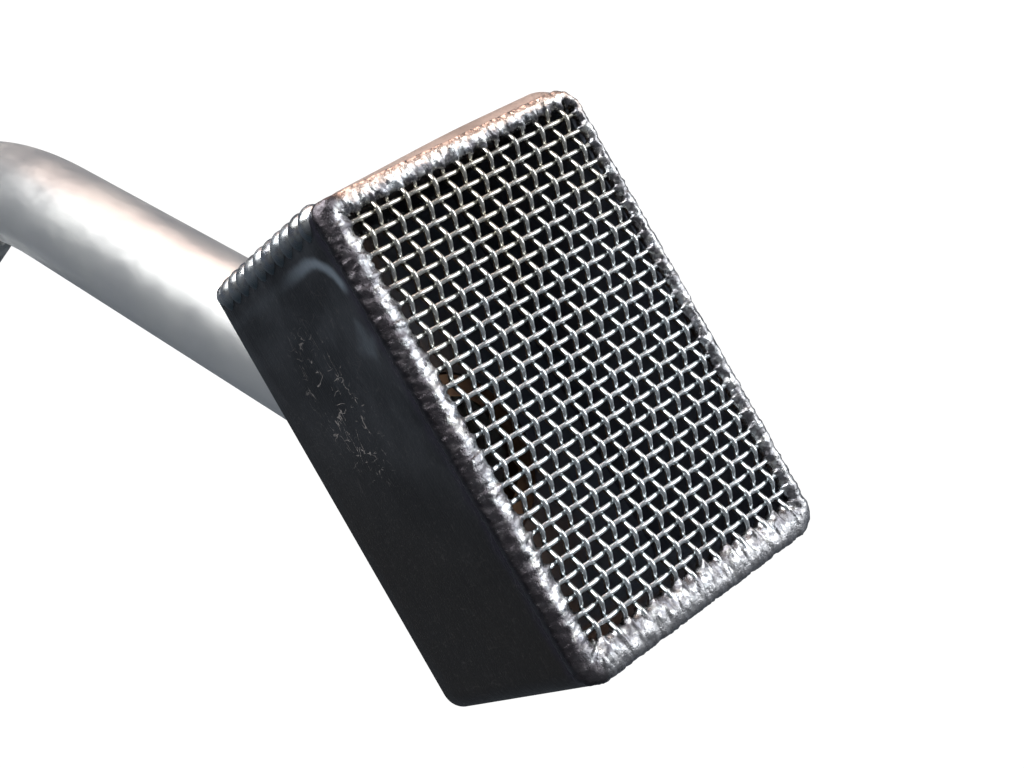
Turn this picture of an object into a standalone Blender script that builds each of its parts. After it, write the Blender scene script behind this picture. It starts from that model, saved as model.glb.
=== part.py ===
"""Gas burner head: a welded sheet box faced with woven wire cloth, on a bent feed tube with a two-bolt flange.

Metres, +Z up. The origin is the centre of the flange's lower face. The feed tube rises from the
flange, bends towards +X and enters the back plate of the head. The wire cloth faces up.
"""
import math

import bmesh
import bpy
from mathutils import Matrix, Vector

MM = 0.001
GAP = 0.3 * MM                      # what touching pieces keep between them

# Head box
HEAD_LENGTH = 58.8 * MM             # along X
HEAD_WIDTH = 37.6 * MM              # along Y
HEAD_DEPTH = 32.5 * MM              # along Z, to the crest of the rim welds
SHEET = 1.5 * MM                    # side wall and back plate
CORNER_RADIUS = 3.0 * MM            # outer radius of the three bent corners
SEAM_CORNER_RADIUS = 1.4 * MM       # the welded fourth corner
SEAM_BEAD_RADIUS = 1.4 * MM

# Wire cloth and the welds that hold its edges
CLOTH_PITCH = 2.0 * MM
CLOTH_WIRE = 0.5 * MM
CLOTH_SINK = 0.9 * MM               # middle of the cloth below the crest of the rim welds
RIM_SEAM_END = 2.75 * MM            # weld width at -X
RIM_FRONT = 4.3 * MM                # weld width at -Y
RIM_PLAIN_END_LEAST = 4.8 * MM      # least weld width at +X
RIM_REAR_LEAST = 2.1 * MM           # least weld width at +Y
RIM_HEIGHT = 1.5 * MM

# Weld that closes the back plate
BACK_BEAD_INSET = 0.5 * MM
BACK_BEAD_WIDTH = 2.2 * MM
BACK_BEAD_HEIGHT = 0.8 * MM

# Feed tube
TUBE_OD = 17.2 * MM
TUBE_WALL = 2.3 * MM
TUBE_LEAN = math.radians(39.0)      # of the straight run, from +Z towards +X
TUBE_BEND_RADIUS = 92.0 * MM        # of the centre line
TUBE_INLET_RUN = 14.0 * MM          # upright run from the flange's face to the bend
TUBE_STRAIGHT = 102.0 * MM          # from the bend to the back plate
TUBE_ENTRY_SHIFT = 2.0 * MM         # the entry's offset from the middle of the head
TUBE_RECESS = 1.0 * MM              # the tube's end above the flange's face
TUBE_WELD_LEG = 3.0 * MM
TUBE_SIDES = 32

# Flange and its screws
FLANGE_THICKNESS = 6.0 * MM
FLANGE_WELD_LEG = 4.0 * MM
FLANGE_LAND = 1.0 * MM              # flange left outside the weld
FLANGE_EAR_RADIUS = 8.0 * MM
BOLT_MARGIN = 3.1 * MM              # between weld and washer
BOLT_TURN = math.radians(-34.0)     # of the line through both screws, from +X
SCREW_DIAMETER = 6.0 * MM
SCREW_LENGTH = 20.0 * MM
SCREW_HEAD_FLATS = 10.0 * MM
SCREW_HEAD_HEIGHT = 4.0 * MM
WASHER_RADIUS = 6.0 * MM
WASHER_THICKNESS = 1.6 * MM
SPRING_WASHER_RADIUS = 5.45 * MM
SPRING_WASHER_THICKNESS = 1.6 * MM
SPRING_WASHER_SPLIT = 1.0 * MM

# Gusset between the flange and the inside of the bend
GUSSET_THICKNESS = 3.0 * MM
GUSSET_RISE = 29.0 * MM             # its top above the start of the bend
GUSSET_WELD_RADIUS = 1.1 * MM
GUSSET_WELD_START = math.radians(1.5)   # round the bend, from the upright run
GUSSET_WELD_END = math.radians(15.5)

# Worked out from the sizes above
TUBE_RADIUS = TUBE_OD / 2
SLEEVE_RADIUS = TUBE_RADIUS + GAP   # everything that goes round the tube
HOLE_RADIUS = SCREW_DIAMETER / 2 + GAP
BOLT_OFFSET = SLEEVE_RADIUS + FLANGE_WELD_LEG + BOLT_MARGIN + WASHER_RADIUS
FLANGE_HUB_RADIUS = SLEEVE_RADIUS + FLANGE_WELD_LEG + FLANGE_LAND
TUBE_DIRECTION = Vector((math.sin(TUBE_LEAN), 0.0, math.cos(TUBE_LEAN)))
BEND_CENTRE = Vector((TUBE_BEND_RADIUS, 0.0, TUBE_INLET_RUN))
ARC_STEPS = 8                       # steps in a quarter turn of an outline
CUT_MARGIN = 5.0 * MM               # how far a cutter runs past what it cuts


def bend_point(angle, inward=0.0, aside=0.0):
    """A point beside the bend's centre line, `angle` round from the upright run."""
    radius = TUBE_BEND_RADIUS - inward
    offset = Vector((-radius * math.cos(angle), aside, radius * math.sin(angle)))
    return BEND_CENTRE + offset


BEND_END = bend_point(TUBE_LEAN)
ENTRY = BEND_END + TUBE_STRAIGHT * TUBE_DIRECTION
HEAD_X = ENTRY.x - TUBE_ENTRY_SHIFT
BACK_Z = ENTRY.z
CREST_Z = BACK_Z + HEAD_DEPTH
RIM_Z = CREST_Z - RIM_HEIGHT
WALL_TOP_Z = RIM_Z - GAP


def start_scene():
    """Empty the scene and make the two collections."""
    for old in list(bpy.data.objects):
        bpy.data.objects.remove(old, do_unlink=True)
    made = []
    for name in ("burner_assembly", "cutters"):
        collection = bpy.data.collections.new(name)
        bpy.context.scene.collection.children.link(collection)
        made.append(collection)
    return made


PARTS, CUTTERS = start_scene()


def make_material(name, colour, roughness, metallic=1.0):
    """A Principled material."""
    material = bpy.data.materials.new(name)
    material.use_nodes = True
    shader = material.node_tree.nodes["Principled BSDF"]
    shader.inputs["Base Color"].default_value = (*colour, 1.0)
    shader.inputs["Roughness"].default_value = roughness
    shader.inputs["Metallic"].default_value = metallic
    return material


PLATED_SHEET = make_material("plated_sheet", (0.13, 0.14, 0.16), 0.35)
PLATED_TUBE = make_material("plated_tube", (0.62, 0.64, 0.64), 0.3)
WIRE = make_material("cloth_wire", (0.66, 0.67, 0.66), 0.28)
WELD = make_material("weld_metal", (0.55, 0.56, 0.57), 0.35)
FLANGE_STEEL = make_material("flange_steel", (0.5, 0.51, 0.52), 0.4)
SCREW_STEEL = make_material("screw_steel", (0.58, 0.58, 0.55), 0.35)


def add_object(name, mesh, collection=PARTS):
    """Link a mesh as a new object."""
    made = bpy.data.objects.new(name, mesh)
    collection.objects.link(made)
    return made


def finish_part(part, material, smooth_angle=40.0):
    """Give a part its material and its shading."""
    part.data.materials.clear()
    part.data.materials.append(material)
    part.data.shade_smooth()
    part.data.set_sharp_from_angle(angle=math.radians(smooth_angle))
    return part


def as_cutter(tool):
    """Hide a cutting shape."""
    tool.hide_render = True
    tool.display_type = "WIRE"
    return tool


def curve_to_mesh(curve_object, collection):
    """Turn a curve object into a closed mesh object of the same name."""
    bpy.context.view_layer.update()
    graph = bpy.context.evaluated_depsgraph_get()
    mesh = bpy.data.meshes.new_from_object(curve_object.evaluated_get(graph))
    work = bmesh.new()
    work.from_mesh(mesh)
    bmesh.ops.remove_doubles(work, verts=work.verts, dist=0.001 * MM)
    bmesh.ops.recalc_face_normals(work, faces=work.faces)
    work.to_mesh(mesh)
    work.free()
    name = curve_object.name
    place = curve_object.matrix_world.copy()
    curve_object.name = name + "_curve"
    made = add_object(name, mesh, collection)
    made.matrix_world = place
    bpy.data.objects.remove(curve_object, do_unlink=True)
    return made


def fill_spline(curve, points, cyclic):
    """Add one straight-sided spline through the points."""
    spline = curve.splines.new("POLY")
    spline.points.add(len(points) - 1)
    for target, point in zip(spline.points, points):
        target.co = (point[0], point[1], point[2] if len(point) > 2 else 0.0, 1.0)
    spline.use_cyclic_u = cyclic


def plate_from_outlines(name, outlines, thickness, place, collection=PARTS):
    """A flat plate: the first outline is its edge and the rest are holes. `place` is its mid-plane."""
    curve = bpy.data.curves.new(name, "CURVE")
    curve.dimensions = "2D"
    curve.fill_mode = "BOTH"
    curve.extrude = thickness / 2
    for outline in outlines:
        fill_spline(curve, outline, cyclic=True)
    made = bpy.data.objects.new(name, curve)
    collection.objects.link(made)
    made.matrix_world = place
    return curve_to_mesh(made, collection)


def rod_along(name, points, radius, collection, resolution):
    """A round bar along the points, with flat ends."""
    curve = bpy.data.curves.new(name, "CURVE")
    curve.dimensions = "3D"
    curve.bevel_depth = radius
    curve.bevel_resolution = resolution
    curve.use_fill_caps = True
    fill_spline(curve, points, cyclic=False)
    made = bpy.data.objects.new(name, curve)
    collection.objects.link(made)
    return curve_to_mesh(made, collection)


def box_between(name, low, high, collection=CUTTERS):
    """A box from its lowest to its highest corner."""
    bpy.ops.mesh.primitive_cube_add(size=1.0)
    made = bpy.context.active_object
    middle = (Vector(low) + Vector(high)) / 2
    size = Vector(high) - Vector(low)
    made.data.transform(Matrix.Translation(middle) @ Matrix.Diagonal((*size, 1.0)))
    return rehome(made, name, collection)


def cylinder_at(name, place, radius, length, sides, collection=CUTTERS):
    """A cylinder or prism about the place's local Z axis."""
    bpy.ops.mesh.primitive_cylinder_add(vertices=sides, radius=radius, depth=length)
    made = bpy.context.active_object
    made.data.transform(place)
    return rehome(made, name, collection)


def rehome(made, name, collection):
    """Name a new primitive and move it to its collection."""
    made.name = name
    made.data.name = name
    for home in list(made.users_collection):
        home.objects.unlink(made)
    collection.objects.link(made)
    return made if collection is PARTS else as_cutter(made)


def cut(part, tool, operation="DIFFERENCE"):
    """Add one exact Boolean."""
    modifier = part.modifiers.new(operation.lower() + "_" + tool.name, "BOOLEAN")
    modifier.operation = operation
    modifier.solver = "EXACT"
    modifier.object = as_cutter(tool)
    return part


def arc(centre, radius, start, end, steps):
    """Points of a flat arc, from one angle to another in radians."""
    points = []
    for step in range(steps + 1):
        angle = start + (end - start) * step / steps
        points.append((centre[0] + radius * math.cos(angle), centre[1] + radius * math.sin(angle)))
    return points


def circle(centre, radius, steps):
    """A closed circle without its repeated last point."""
    return arc(centre, radius, 0.0, 2 * math.pi, steps)[:-1]


def rounded_rectangle(low, high, radius, seam_radius):
    """A rectangle's outline. The corner at low X and low Y has its own radius."""
    quarter = math.pi / 2
    corners = (
        (low[0], low[1], seam_radius, 1, 1, 2),
        (high[0], low[1], radius, -1, 1, 3),
        (high[0], high[1], radius, -1, -1, 0),
        (low[0], high[1], radius, 1, -1, 1),
    )
    points = []
    for x, y, r, inward_x, inward_y, turn in corners:
        centre = (x + inward_x * r, y + inward_y * r)
        points += arc(centre, r, turn * quarter, (turn + 1) * quarter, ARC_STEPS // 2)
    return points


def head_outline(inset, radius, seam_radius):
    """The head's outline moved inwards, in the part's X and Y."""
    half_length = HEAD_LENGTH / 2 - inset
    half_width = HEAD_WIDTH / 2 - inset
    low = (HEAD_X - half_length, -half_width)
    high = (HEAD_X + half_length, half_width)
    return rounded_rectangle(low, high, radius, seam_radius)


def level(z, x=0.0, y=0.0):
    """A place at a height, upright."""
    return Matrix.Translation((x, y, z))


def tube_path(past_entry, below_face):
    """Centre line of the feed tube, from the flange up into the head."""
    bend_steps = 12
    points = [Vector((0.0, 0.0, below_face)), Vector((0.0, 0.0, TUBE_INLET_RUN))]
    for step in range(1, bend_steps + 1):
        points.append(bend_point(TUBE_LEAN * step / bend_steps))
    points.append(ENTRY + past_entry * TUBE_DIRECTION)
    return points


def tube_rod(name, radius, past_entry, below_face, collection=CUTTERS):
    """A solid rod on the tube's centre line."""
    path = tube_path(past_entry, below_face)
    made = rod_along(name, path, radius, collection, (TUBE_SIDES - 4) // 2)
    return made if collection is PARTS else as_cutter(made)


def cloth_wires():
    """First and last wire centres along X and along Y, and the counts."""
    edge = GAP + CLOTH_WIRE / 2
    low_x = HEAD_X - HEAD_LENGTH / 2 + RIM_SEAM_END + edge
    low_y = -HEAD_WIDTH / 2 + RIM_FRONT + edge
    span_x = HEAD_X + HEAD_LENGTH / 2 - RIM_PLAIN_END_LEAST - edge - low_x
    span_y = HEAD_WIDTH / 2 - RIM_REAR_LEAST - edge - low_y
    cells_x = math.floor(span_x / CLOTH_PITCH)
    cells_y = math.floor(span_y / CLOTH_PITCH)
    return low_x, low_y, cells_x, cells_y


def make_side_wall():
    """One strip bent round three corners, its two ends meeting at the fourth."""
    inner_radius = CORNER_RADIUS - SHEET
    seam_inner = SEAM_CORNER_RADIUS / 2
    outlines = [
        head_outline(0.0, CORNER_RADIUS, SEAM_CORNER_RADIUS),
        head_outline(SHEET, inner_radius, seam_inner),
    ]
    middle = level((BACK_Z + WALL_TOP_Z) / 2)
    wall = plate_from_outlines("side_wall_strip", outlines, WALL_TOP_Z - BACK_Z, middle)
    leg = 2 * SEAM_BEAD_RADIUS + 1.5 * GAP
    x = HEAD_X - HEAD_LENGTH / 2
    y = -HEAD_WIDTH / 2
    low = (x - CUT_MARGIN, y - CUT_MARGIN, BACK_Z - CUT_MARGIN)
    high = (x + leg, y + leg, WALL_TOP_Z + CUT_MARGIN)
    cut(wall, box_between("seam_corner_cutter", low, high))
    return finish_part(wall, PLATED_SHEET)


def make_seam_weld():
    """The bead that closes the fourth corner."""
    inset = SEAM_BEAD_RADIUS + GAP / 6
    x = HEAD_X - HEAD_LENGTH / 2 + inset
    y = -HEAD_WIDTH / 2 + inset
    place = level((BACK_Z + WALL_TOP_Z) / 2, x, y)
    bead = cylinder_at("corner_seam_weld", place, SEAM_BEAD_RADIUS, WALL_TOP_Z - BACK_Z, 16, PARTS)
    return finish_part(bead, WELD)


def make_back_plate():
    """The plate let into the back of the strip, with the tube's slanting hole."""
    inset = SHEET + GAP
    seam_radius = 2 * SEAM_BEAD_RADIUS + 2 * GAP
    outline = head_outline(inset, CORNER_RADIUS - inset, seam_radius)
    plate = plate_from_outlines("back_plate", [outline], SHEET, level(BACK_Z + SHEET / 2))
    cut(plate, tube_rod("plate_hole_cutter", SLEEVE_RADIUS, TUBE_OD, 0.0))
    return finish_part(plate, PLATED_SHEET)


def make_back_plate_weld():
    """The bead over the joint between back plate and strip."""
    inner = BACK_BEAD_INSET + BACK_BEAD_WIDTH
    outer_radius = CORNER_RADIUS - BACK_BEAD_INSET
    inner_radius = max(CORNER_RADIUS - inner, GAP)
    outlines = [
        head_outline(BACK_BEAD_INSET, outer_radius, SEAM_CORNER_RADIUS),
        head_outline(inner, inner_radius, inner_radius),
    ]
    middle = level(BACK_Z - GAP - BACK_BEAD_HEIGHT / 2)
    weld = plate_from_outlines("back_plate_weld", outlines, BACK_BEAD_HEIGHT, middle)
    return finish_part(weld, WELD)


def make_cloth():
    """The woven cloth as one flat grid with every wire in its place."""
    low_x, low_y, cells_x, cells_y = cloth_wires()
    half_wire = CLOTH_WIRE / 2
    high_x = low_x + cells_x * CLOTH_PITCH
    high_y = low_y + cells_y * CLOTH_PITCH

    def frame(x0, y0, x1, y1):
        return [(x0, y0), (x1, y0), (x1, y1), (x0, y1)]

    outlines = [frame(low_x - half_wire, low_y - half_wire, high_x + half_wire, high_y + half_wire)]
    for column in range(cells_x):
        for row in range(cells_y):
            x = low_x + column * CLOTH_PITCH
            y = low_y + row * CLOTH_PITCH
            outlines.append(frame(x + half_wire, y + half_wire,
                                  x + CLOTH_PITCH - half_wire, y + CLOTH_PITCH - half_wire))
    cloth = plate_from_outlines("wire_cloth", outlines, CLOTH_WIRE, level(CREST_Z - CLOTH_SINK))
    return finish_part(cloth, WIRE)


def make_rim_welds():
    """The four weld runs that melt the cloth's edge onto the front edge of the strip."""
    low_x, low_y, cells_x, cells_y = cloth_wires()
    edge = CLOTH_WIRE / 2 + GAP
    hole = (
        (low_x - edge, low_y - edge),
        (low_x + cells_x * CLOTH_PITCH + edge, low_y + cells_y * CLOTH_PITCH + edge),
    )
    opening = [hole[0], (hole[1][0], hole[0][1]), hole[1], (hole[0][0], hole[1][1])]
    far = HEAD_LENGTH + HEAD_WIDTH
    under = RIM_Z - CUT_MARGIN
    over = CREST_Z + CUT_MARGIN
    regions = {
        "rim_weld_front": ((HEAD_X - far, -far, under), (HEAD_X + far, hole[0][1], over)),
        "rim_weld_rear": ((HEAD_X - far, hole[1][1], under), (HEAD_X + far, far, over)),
        "rim_weld_seam_end": ((HEAD_X - far, hole[0][1] + GAP, under), (hole[0][0], hole[1][1] - GAP, over)),
        "rim_weld_plain_end": ((hole[1][0], hole[0][1] + GAP, under), (HEAD_X + far, hole[1][1] - GAP, over)),
    }
    for name, (low, high) in regions.items():
        outlines = [head_outline(0.0, CORNER_RADIUS, SEAM_CORNER_RADIUS), opening]
        weld = plate_from_outlines(name, outlines, RIM_HEIGHT, level(RIM_Z + RIM_HEIGHT / 2))
        cut(weld, box_between(name + "_region", low, high), "INTERSECT")
        finish_part(weld, WELD)


def make_feed_tube():
    """The bent tube, cut level with the inside of the back plate."""
    past = HEAD_DEPTH / 2
    tube = tube_rod("feed_tube", TUBE_RADIUS, past, TUBE_RECESS, PARTS)
    bore = tube_rod("tube_bore_cutter", TUBE_RADIUS - TUBE_WALL, past + CUT_MARGIN, -CUT_MARGIN)
    cut(tube, bore)
    low = (ENTRY.x - HEAD_LENGTH, -HEAD_WIDTH, BACK_Z + SHEET)
    high = (ENTRY.x + HEAD_LENGTH, HEAD_WIDTH, BACK_Z + 2 * HEAD_DEPTH)
    cut(tube, box_between("tube_mouth_cutter", low, high))
    return finish_part(tube, PLATED_TUBE)


def make_tube_weld():
    """The fillet round the tube on the back plate."""
    drop = GAP + TUBE_WELD_LEG / 2
    middle = ENTRY - Vector((math.tan(TUBE_LEAN) * drop, 0.0, drop))
    radius_y = TUBE_RADIUS + TUBE_WELD_LEG
    radius_x = TUBE_RADIUS / math.cos(TUBE_LEAN) + TUBE_WELD_LEG
    outline = [(x * radius_x / radius_y, y) for x, y in circle((0.0, 0.0), radius_y, 32)]
    weld = plate_from_outlines("tube_weld", [outline], TUBE_WELD_LEG, Matrix.Translation(middle))
    cut(weld, tube_rod("tube_weld_cutter", SLEEVE_RADIUS, TUBE_OD, 0.0))
    return finish_part(weld, WELD)


def bolt_place(side):
    """Middle of one screw, seen from above. The sides are -1 and 1."""
    return (side * BOLT_OFFSET * math.cos(BOLT_TURN), side * BOLT_OFFSET * math.sin(BOLT_TURN))


def flange_outline():
    """Two ears joined to the round hub by straight tangents."""
    tangent = math.acos((FLANGE_HUB_RADIUS - FLANGE_EAR_RADIUS) / BOLT_OFFSET)
    steps = 2 * ARC_STEPS
    points = []
    for side, turn in ((1, BOLT_TURN), (-1, BOLT_TURN + math.pi)):
        points += arc(bolt_place(side), FLANGE_EAR_RADIUS, turn - tangent, turn + tangent, steps)
        points += arc((0.0, 0.0), FLANGE_HUB_RADIUS, turn + tangent, turn + math.pi - tangent, ARC_STEPS)
    return points


def make_flange():
    """The two-bolt flange. The tube stands in its bore."""
    outlines = [flange_outline(), circle((0.0, 0.0), SLEEVE_RADIUS, TUBE_SIDES)]
    for side in (-1, 1):
        outlines.append(circle(bolt_place(side), HOLE_RADIUS, 16))
    flange = plate_from_outlines("mounting_flange", outlines, FLANGE_THICKNESS, level(FLANGE_THICKNESS / 2))
    return finish_part(flange, FLANGE_STEEL)


def turned_ring(name, profile, material):
    """A ring turned about Z from a closed profile of radius and height, listed down its outer side first."""
    mesh = bpy.data.meshes.new(name)
    work = bmesh.new()
    corners = [work.verts.new((radius, 0.0, height)) for radius, height in profile]
    for corner, following in zip(corners, corners[1:] + corners[:1]):
        work.edges.new((corner, following))
    work.to_mesh(mesh)
    work.free()
    ring = add_object(name, mesh)
    screw = ring.modifiers.new("turn", "SCREW")
    screw.steps = TUBE_SIDES
    screw.render_steps = TUBE_SIDES
    screw.use_merge_vertices = True
    screw.merge_threshold = 0.001 * MM
    return finish_part(ring, material)


def make_flange_weld():
    """The fillet between tube and flange."""
    low = FLANGE_THICKNESS + GAP
    profile = [
        (SLEEVE_RADIUS, low + FLANGE_WELD_LEG),
        (SLEEVE_RADIUS + FLANGE_WELD_LEG, low),
        (SLEEVE_RADIUS, low),
    ]
    return turned_ring("flange_weld", profile, WELD)


def make_fasteners():
    """A screw, a plain washer and a spring washer in each ear."""
    washer_z = FLANGE_THICKNESS + GAP
    spring_z = washer_z + WASHER_THICKNESS + GAP
    head_z = spring_z + SPRING_WASHER_THICKNESS + GAP
    hole = circle((0.0, 0.0), HOLE_RADIUS, 16)
    washer_edge = circle((0.0, 0.0), WASHER_RADIUS, 24)
    spring_edge = circle((0.0, 0.0), SPRING_WASHER_RADIUS, 24)
    for number, side in enumerate((-1, 1), start=1):
        x, y = bolt_place(side)
        washer_place = level(washer_z + WASHER_THICKNESS / 2, x, y)
        washer = plate_from_outlines(f"plain_washer_{number}", [washer_edge, hole], WASHER_THICKNESS,
                                     washer_place)
        finish_part(washer, SCREW_STEEL)
        spring_place = level(spring_z + SPRING_WASHER_THICKNESS / 2, x, y)
        spring = plate_from_outlines(f"spring_washer_{number}", [spring_edge, hole],
                                     SPRING_WASHER_THICKNESS, spring_place)
        split_low = (x - SPRING_WASHER_SPLIT / 2, y, spring_z - CUT_MARGIN)
        split_high = (x + SPRING_WASHER_SPLIT / 2, y + 2 * SPRING_WASHER_RADIUS, spring_z + CUT_MARGIN)
        cut(spring, box_between(f"spring_split_{number}", split_low, split_high))
        finish_part(spring, SCREW_STEEL)
        make_screw(number, x, y, head_z)


def make_screw(number, x, y, head_z):
    """A hexagon-head screw whose shank runs down through its ear."""
    corner_radius = SCREW_HEAD_FLATS / math.sqrt(3)
    root = SCREW_HEAD_HEIGHT / 2
    shank_place = level(head_z + (root - SCREW_LENGTH) / 2, x, y)
    shank = cylinder_at(f"screw_shank_{number}", shank_place, SCREW_DIAMETER / 2, SCREW_LENGTH + root, 16)
    head_place = level(head_z + SCREW_HEAD_HEIGHT / 2, x, y)
    screw = cylinder_at(f"flange_screw_{number}", head_place, corner_radius, SCREW_HEAD_HEIGHT, 6, PARTS)
    cut(screw, shank, "UNION")
    finish_part(screw, SCREW_STEEL)


def make_gusset():
    """The plate that stiffens the leaning tube on the flange, with its two weld runs."""
    foot_z = FLANGE_THICKNESS + GAP
    edge_x = BOLT_OFFSET - WASHER_RADIUS - GAP
    top_z = TUBE_INLET_RUN + GUSSET_RISE
    outline = [(0.0, foot_z), (edge_x, foot_z), (edge_x, top_z), (0.0, top_z)]
    upright = Matrix.Rotation(math.pi / 2, 4, "X")
    gusset = plate_from_outlines("gusset", [outline], GUSSET_THICKNESS, upright)
    cut(gusset, tube_rod("gusset_root_cutter", SLEEVE_RADIUS, 0.0, 0.0))
    snipe_height = FLANGE_WELD_LEG + GAP
    snipe_radius = SLEEVE_RADIUS + FLANGE_WELD_LEG + GAP
    snipe_place = level(foot_z + (snipe_height - CUT_MARGIN) / 2)
    snipe = cylinder_at("gusset_snipe", snipe_place, snipe_radius, snipe_height + CUT_MARGIN, TUBE_SIDES)
    cut(gusset, snipe)
    finish_part(gusset, FLANGE_STEEL)

    aside = GUSSET_THICKNESS / 2 + GAP + GUSSET_WELD_RADIUS
    inward = math.sqrt((SLEEVE_RADIUS + GUSSET_WELD_RADIUS) ** 2 - aside ** 2)
    steps = 6
    for name, side in (("gusset_weld_front", -1), ("gusset_weld_rear", 1)):
        points = []
        for step in range(steps + 1):
            angle = GUSSET_WELD_START + (GUSSET_WELD_END - GUSSET_WELD_START) * step / steps
            points.append(bend_point(angle, inward, side * aside))
        finish_part(rod_along(name, points, GUSSET_WELD_RADIUS, PARTS, 2), WELD)


def main():
    """Build every part."""
    make_side_wall()
    make_seam_weld()
    make_back_plate()
    make_back_plate_weld()
    make_cloth()
    make_rim_welds()
    make_feed_tube()
    make_tube_weld()
    make_flange()
    make_flange_weld()
    make_fasteners()
    make_gusset()


main()
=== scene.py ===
"""Looks of a burner assembly: a steel head faced with wire cloth, on a bent tube with a bolted flange."""

import math
from collections import namedtuple

import bmesh
import bpy
from bpy.props import FloatProperty, FloatVectorProperty, IntProperty, PointerProperty
from mathutils import Matrix, Vector


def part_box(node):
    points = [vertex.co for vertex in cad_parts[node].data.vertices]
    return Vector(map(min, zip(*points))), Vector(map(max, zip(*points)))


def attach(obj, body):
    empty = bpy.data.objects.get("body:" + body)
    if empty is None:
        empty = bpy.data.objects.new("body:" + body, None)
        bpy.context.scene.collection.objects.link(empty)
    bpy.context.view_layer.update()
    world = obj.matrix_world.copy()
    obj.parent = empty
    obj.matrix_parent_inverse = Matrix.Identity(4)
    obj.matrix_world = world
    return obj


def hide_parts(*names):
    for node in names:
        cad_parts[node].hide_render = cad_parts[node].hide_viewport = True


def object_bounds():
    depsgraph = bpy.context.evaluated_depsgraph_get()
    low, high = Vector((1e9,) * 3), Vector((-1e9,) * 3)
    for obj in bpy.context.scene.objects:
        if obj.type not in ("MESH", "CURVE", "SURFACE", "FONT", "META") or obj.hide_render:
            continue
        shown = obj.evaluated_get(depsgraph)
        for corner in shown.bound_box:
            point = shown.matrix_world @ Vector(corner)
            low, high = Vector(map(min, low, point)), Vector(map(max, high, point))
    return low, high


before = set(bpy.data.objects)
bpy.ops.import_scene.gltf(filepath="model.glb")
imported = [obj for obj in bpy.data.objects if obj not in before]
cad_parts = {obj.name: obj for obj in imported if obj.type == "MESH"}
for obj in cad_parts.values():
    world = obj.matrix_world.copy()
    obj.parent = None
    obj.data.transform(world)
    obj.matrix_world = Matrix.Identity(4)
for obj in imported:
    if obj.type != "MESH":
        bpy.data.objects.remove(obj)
CAD_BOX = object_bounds()

bl_info = {
    "name": "Burner Assembly Looks",
    "version": (1, 0, 0),
    "blender": (4, 5, 0),
    "location": "3D View > Sidebar > Burner",
    "description": "Builds the visible pieces, finishes and stage of a burner assembly",
    "category": "Object",
}

MM = 0.001
BODY = "root"

WALL_LOW, WALL_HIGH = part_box("side_wall_strip")
PLATE_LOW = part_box("back_plate")[0]
TUBE_LOW, TUBE_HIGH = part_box("feed_tube")
FLANGE_LOW, FLANGE_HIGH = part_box("mounting_flange")
GUSSET_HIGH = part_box("gusset")[1]
SCREW_LOW, SCREW_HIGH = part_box("flange_screw_2")
SCREW_PLACES = [sum(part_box(f"flange_screw_{n}"), Vector()) / 2.0 for n in (1, 2)]
CLOTH_LOW, CLOTH_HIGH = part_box("wire_cloth")
RIM_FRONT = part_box("rim_weld_front")
RIM_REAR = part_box("rim_weld_rear")
RIM_SEAM_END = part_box("rim_weld_seam_end")
RIM_PLAIN_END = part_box("rim_weld_plain_end")
CREST = RIM_FRONT[1].z
CLOTH_WIRE_RADIUS = (CLOTH_HIGH.z - CLOTH_LOW.z) / 2.0
OPENING_LOW = Vector((RIM_SEAM_END[1].x, RIM_FRONT[1].y, 0.0))
OPENING_HIGH = Vector((RIM_PLAIN_END[0].x, RIM_REAR[0].y, 0.0))

# The faces that the finishes measure from, in millimetres.
SEAM_X, FRONT_Y = WALL_LOW.x / MM, WALL_LOW.y / MM
PLAIN_X, REAR_Y = WALL_HIGH.x / MM, WALL_HIGH.y / MM
CREST_Z, PLATE_Z, FLANGE_Z = CREST / MM, PLATE_LOW.z / MM, FLANGE_HIGH.z / MM


def length(label, about, millimetres, least=0.0):
    """A length property, given here in millimetres."""
    return FloatProperty(
        name=label, description=about, default=millimetres * MM, min=least * MM, unit="LENGTH", precision=5
    )


def plain(label, about, value, least=0.0, most=10.0):
    """A property without a unit."""
    return FloatProperty(name=label, description=about, default=value, min=least, max=most)


def colour(label, about, red, green, blue):
    """A colour property in linear values."""
    return FloatVectorProperty(
        name=label, description=about, default=(red, green, blue), size=3, min=0.0, max=1.0, subtype="COLOR"
    )


class HeadSizes(bpy.types.PropertyGroup):
    """Sizes of the sheet steel head."""

    sheet: length("Sheet", "Thickness of the head's sheet", 1.5)
    corner: length("Corner Radius", "Outside radius of the three bent corners", 3.0)
    seam_corner: length("Seam Corner Radius", "Outside radius where the strip's ends meet", 1.4)
    edge: length("Edge", "Rounding along the sheet's cut edges", 0.3)
    tuck: length("Tuck", "How far the wall runs up into the rim's weld", 0.6)
    bulge: length("Bulge", "How far the wall swells outwards at the seam end", 1.5)


class ClothSizes(bpy.types.PropertyGroup):
    """Sizes of the woven wire cloth."""

    pitch: length("Pitch", "Distance from one wire to the next", 2.0, 0.5)
    wire: length("Wire", "Diameter of the wires", 0.64, 0.1)
    long_rise: length("Long Wire Rise", "How far the long wires weave up and down", 0.48)
    short_rise: length("Short Wire Rise", "How far the short wires weave up and down", 0.14)
    wander: length("Wander", "How far a wire strays from its line", 0.07)
    bury: length("Buried Ends", "How far the wires run into the rim's weld", 1.8)
    step: length("Step", "Length of one piece of a wire's curve", 0.25, 0.05)


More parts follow.
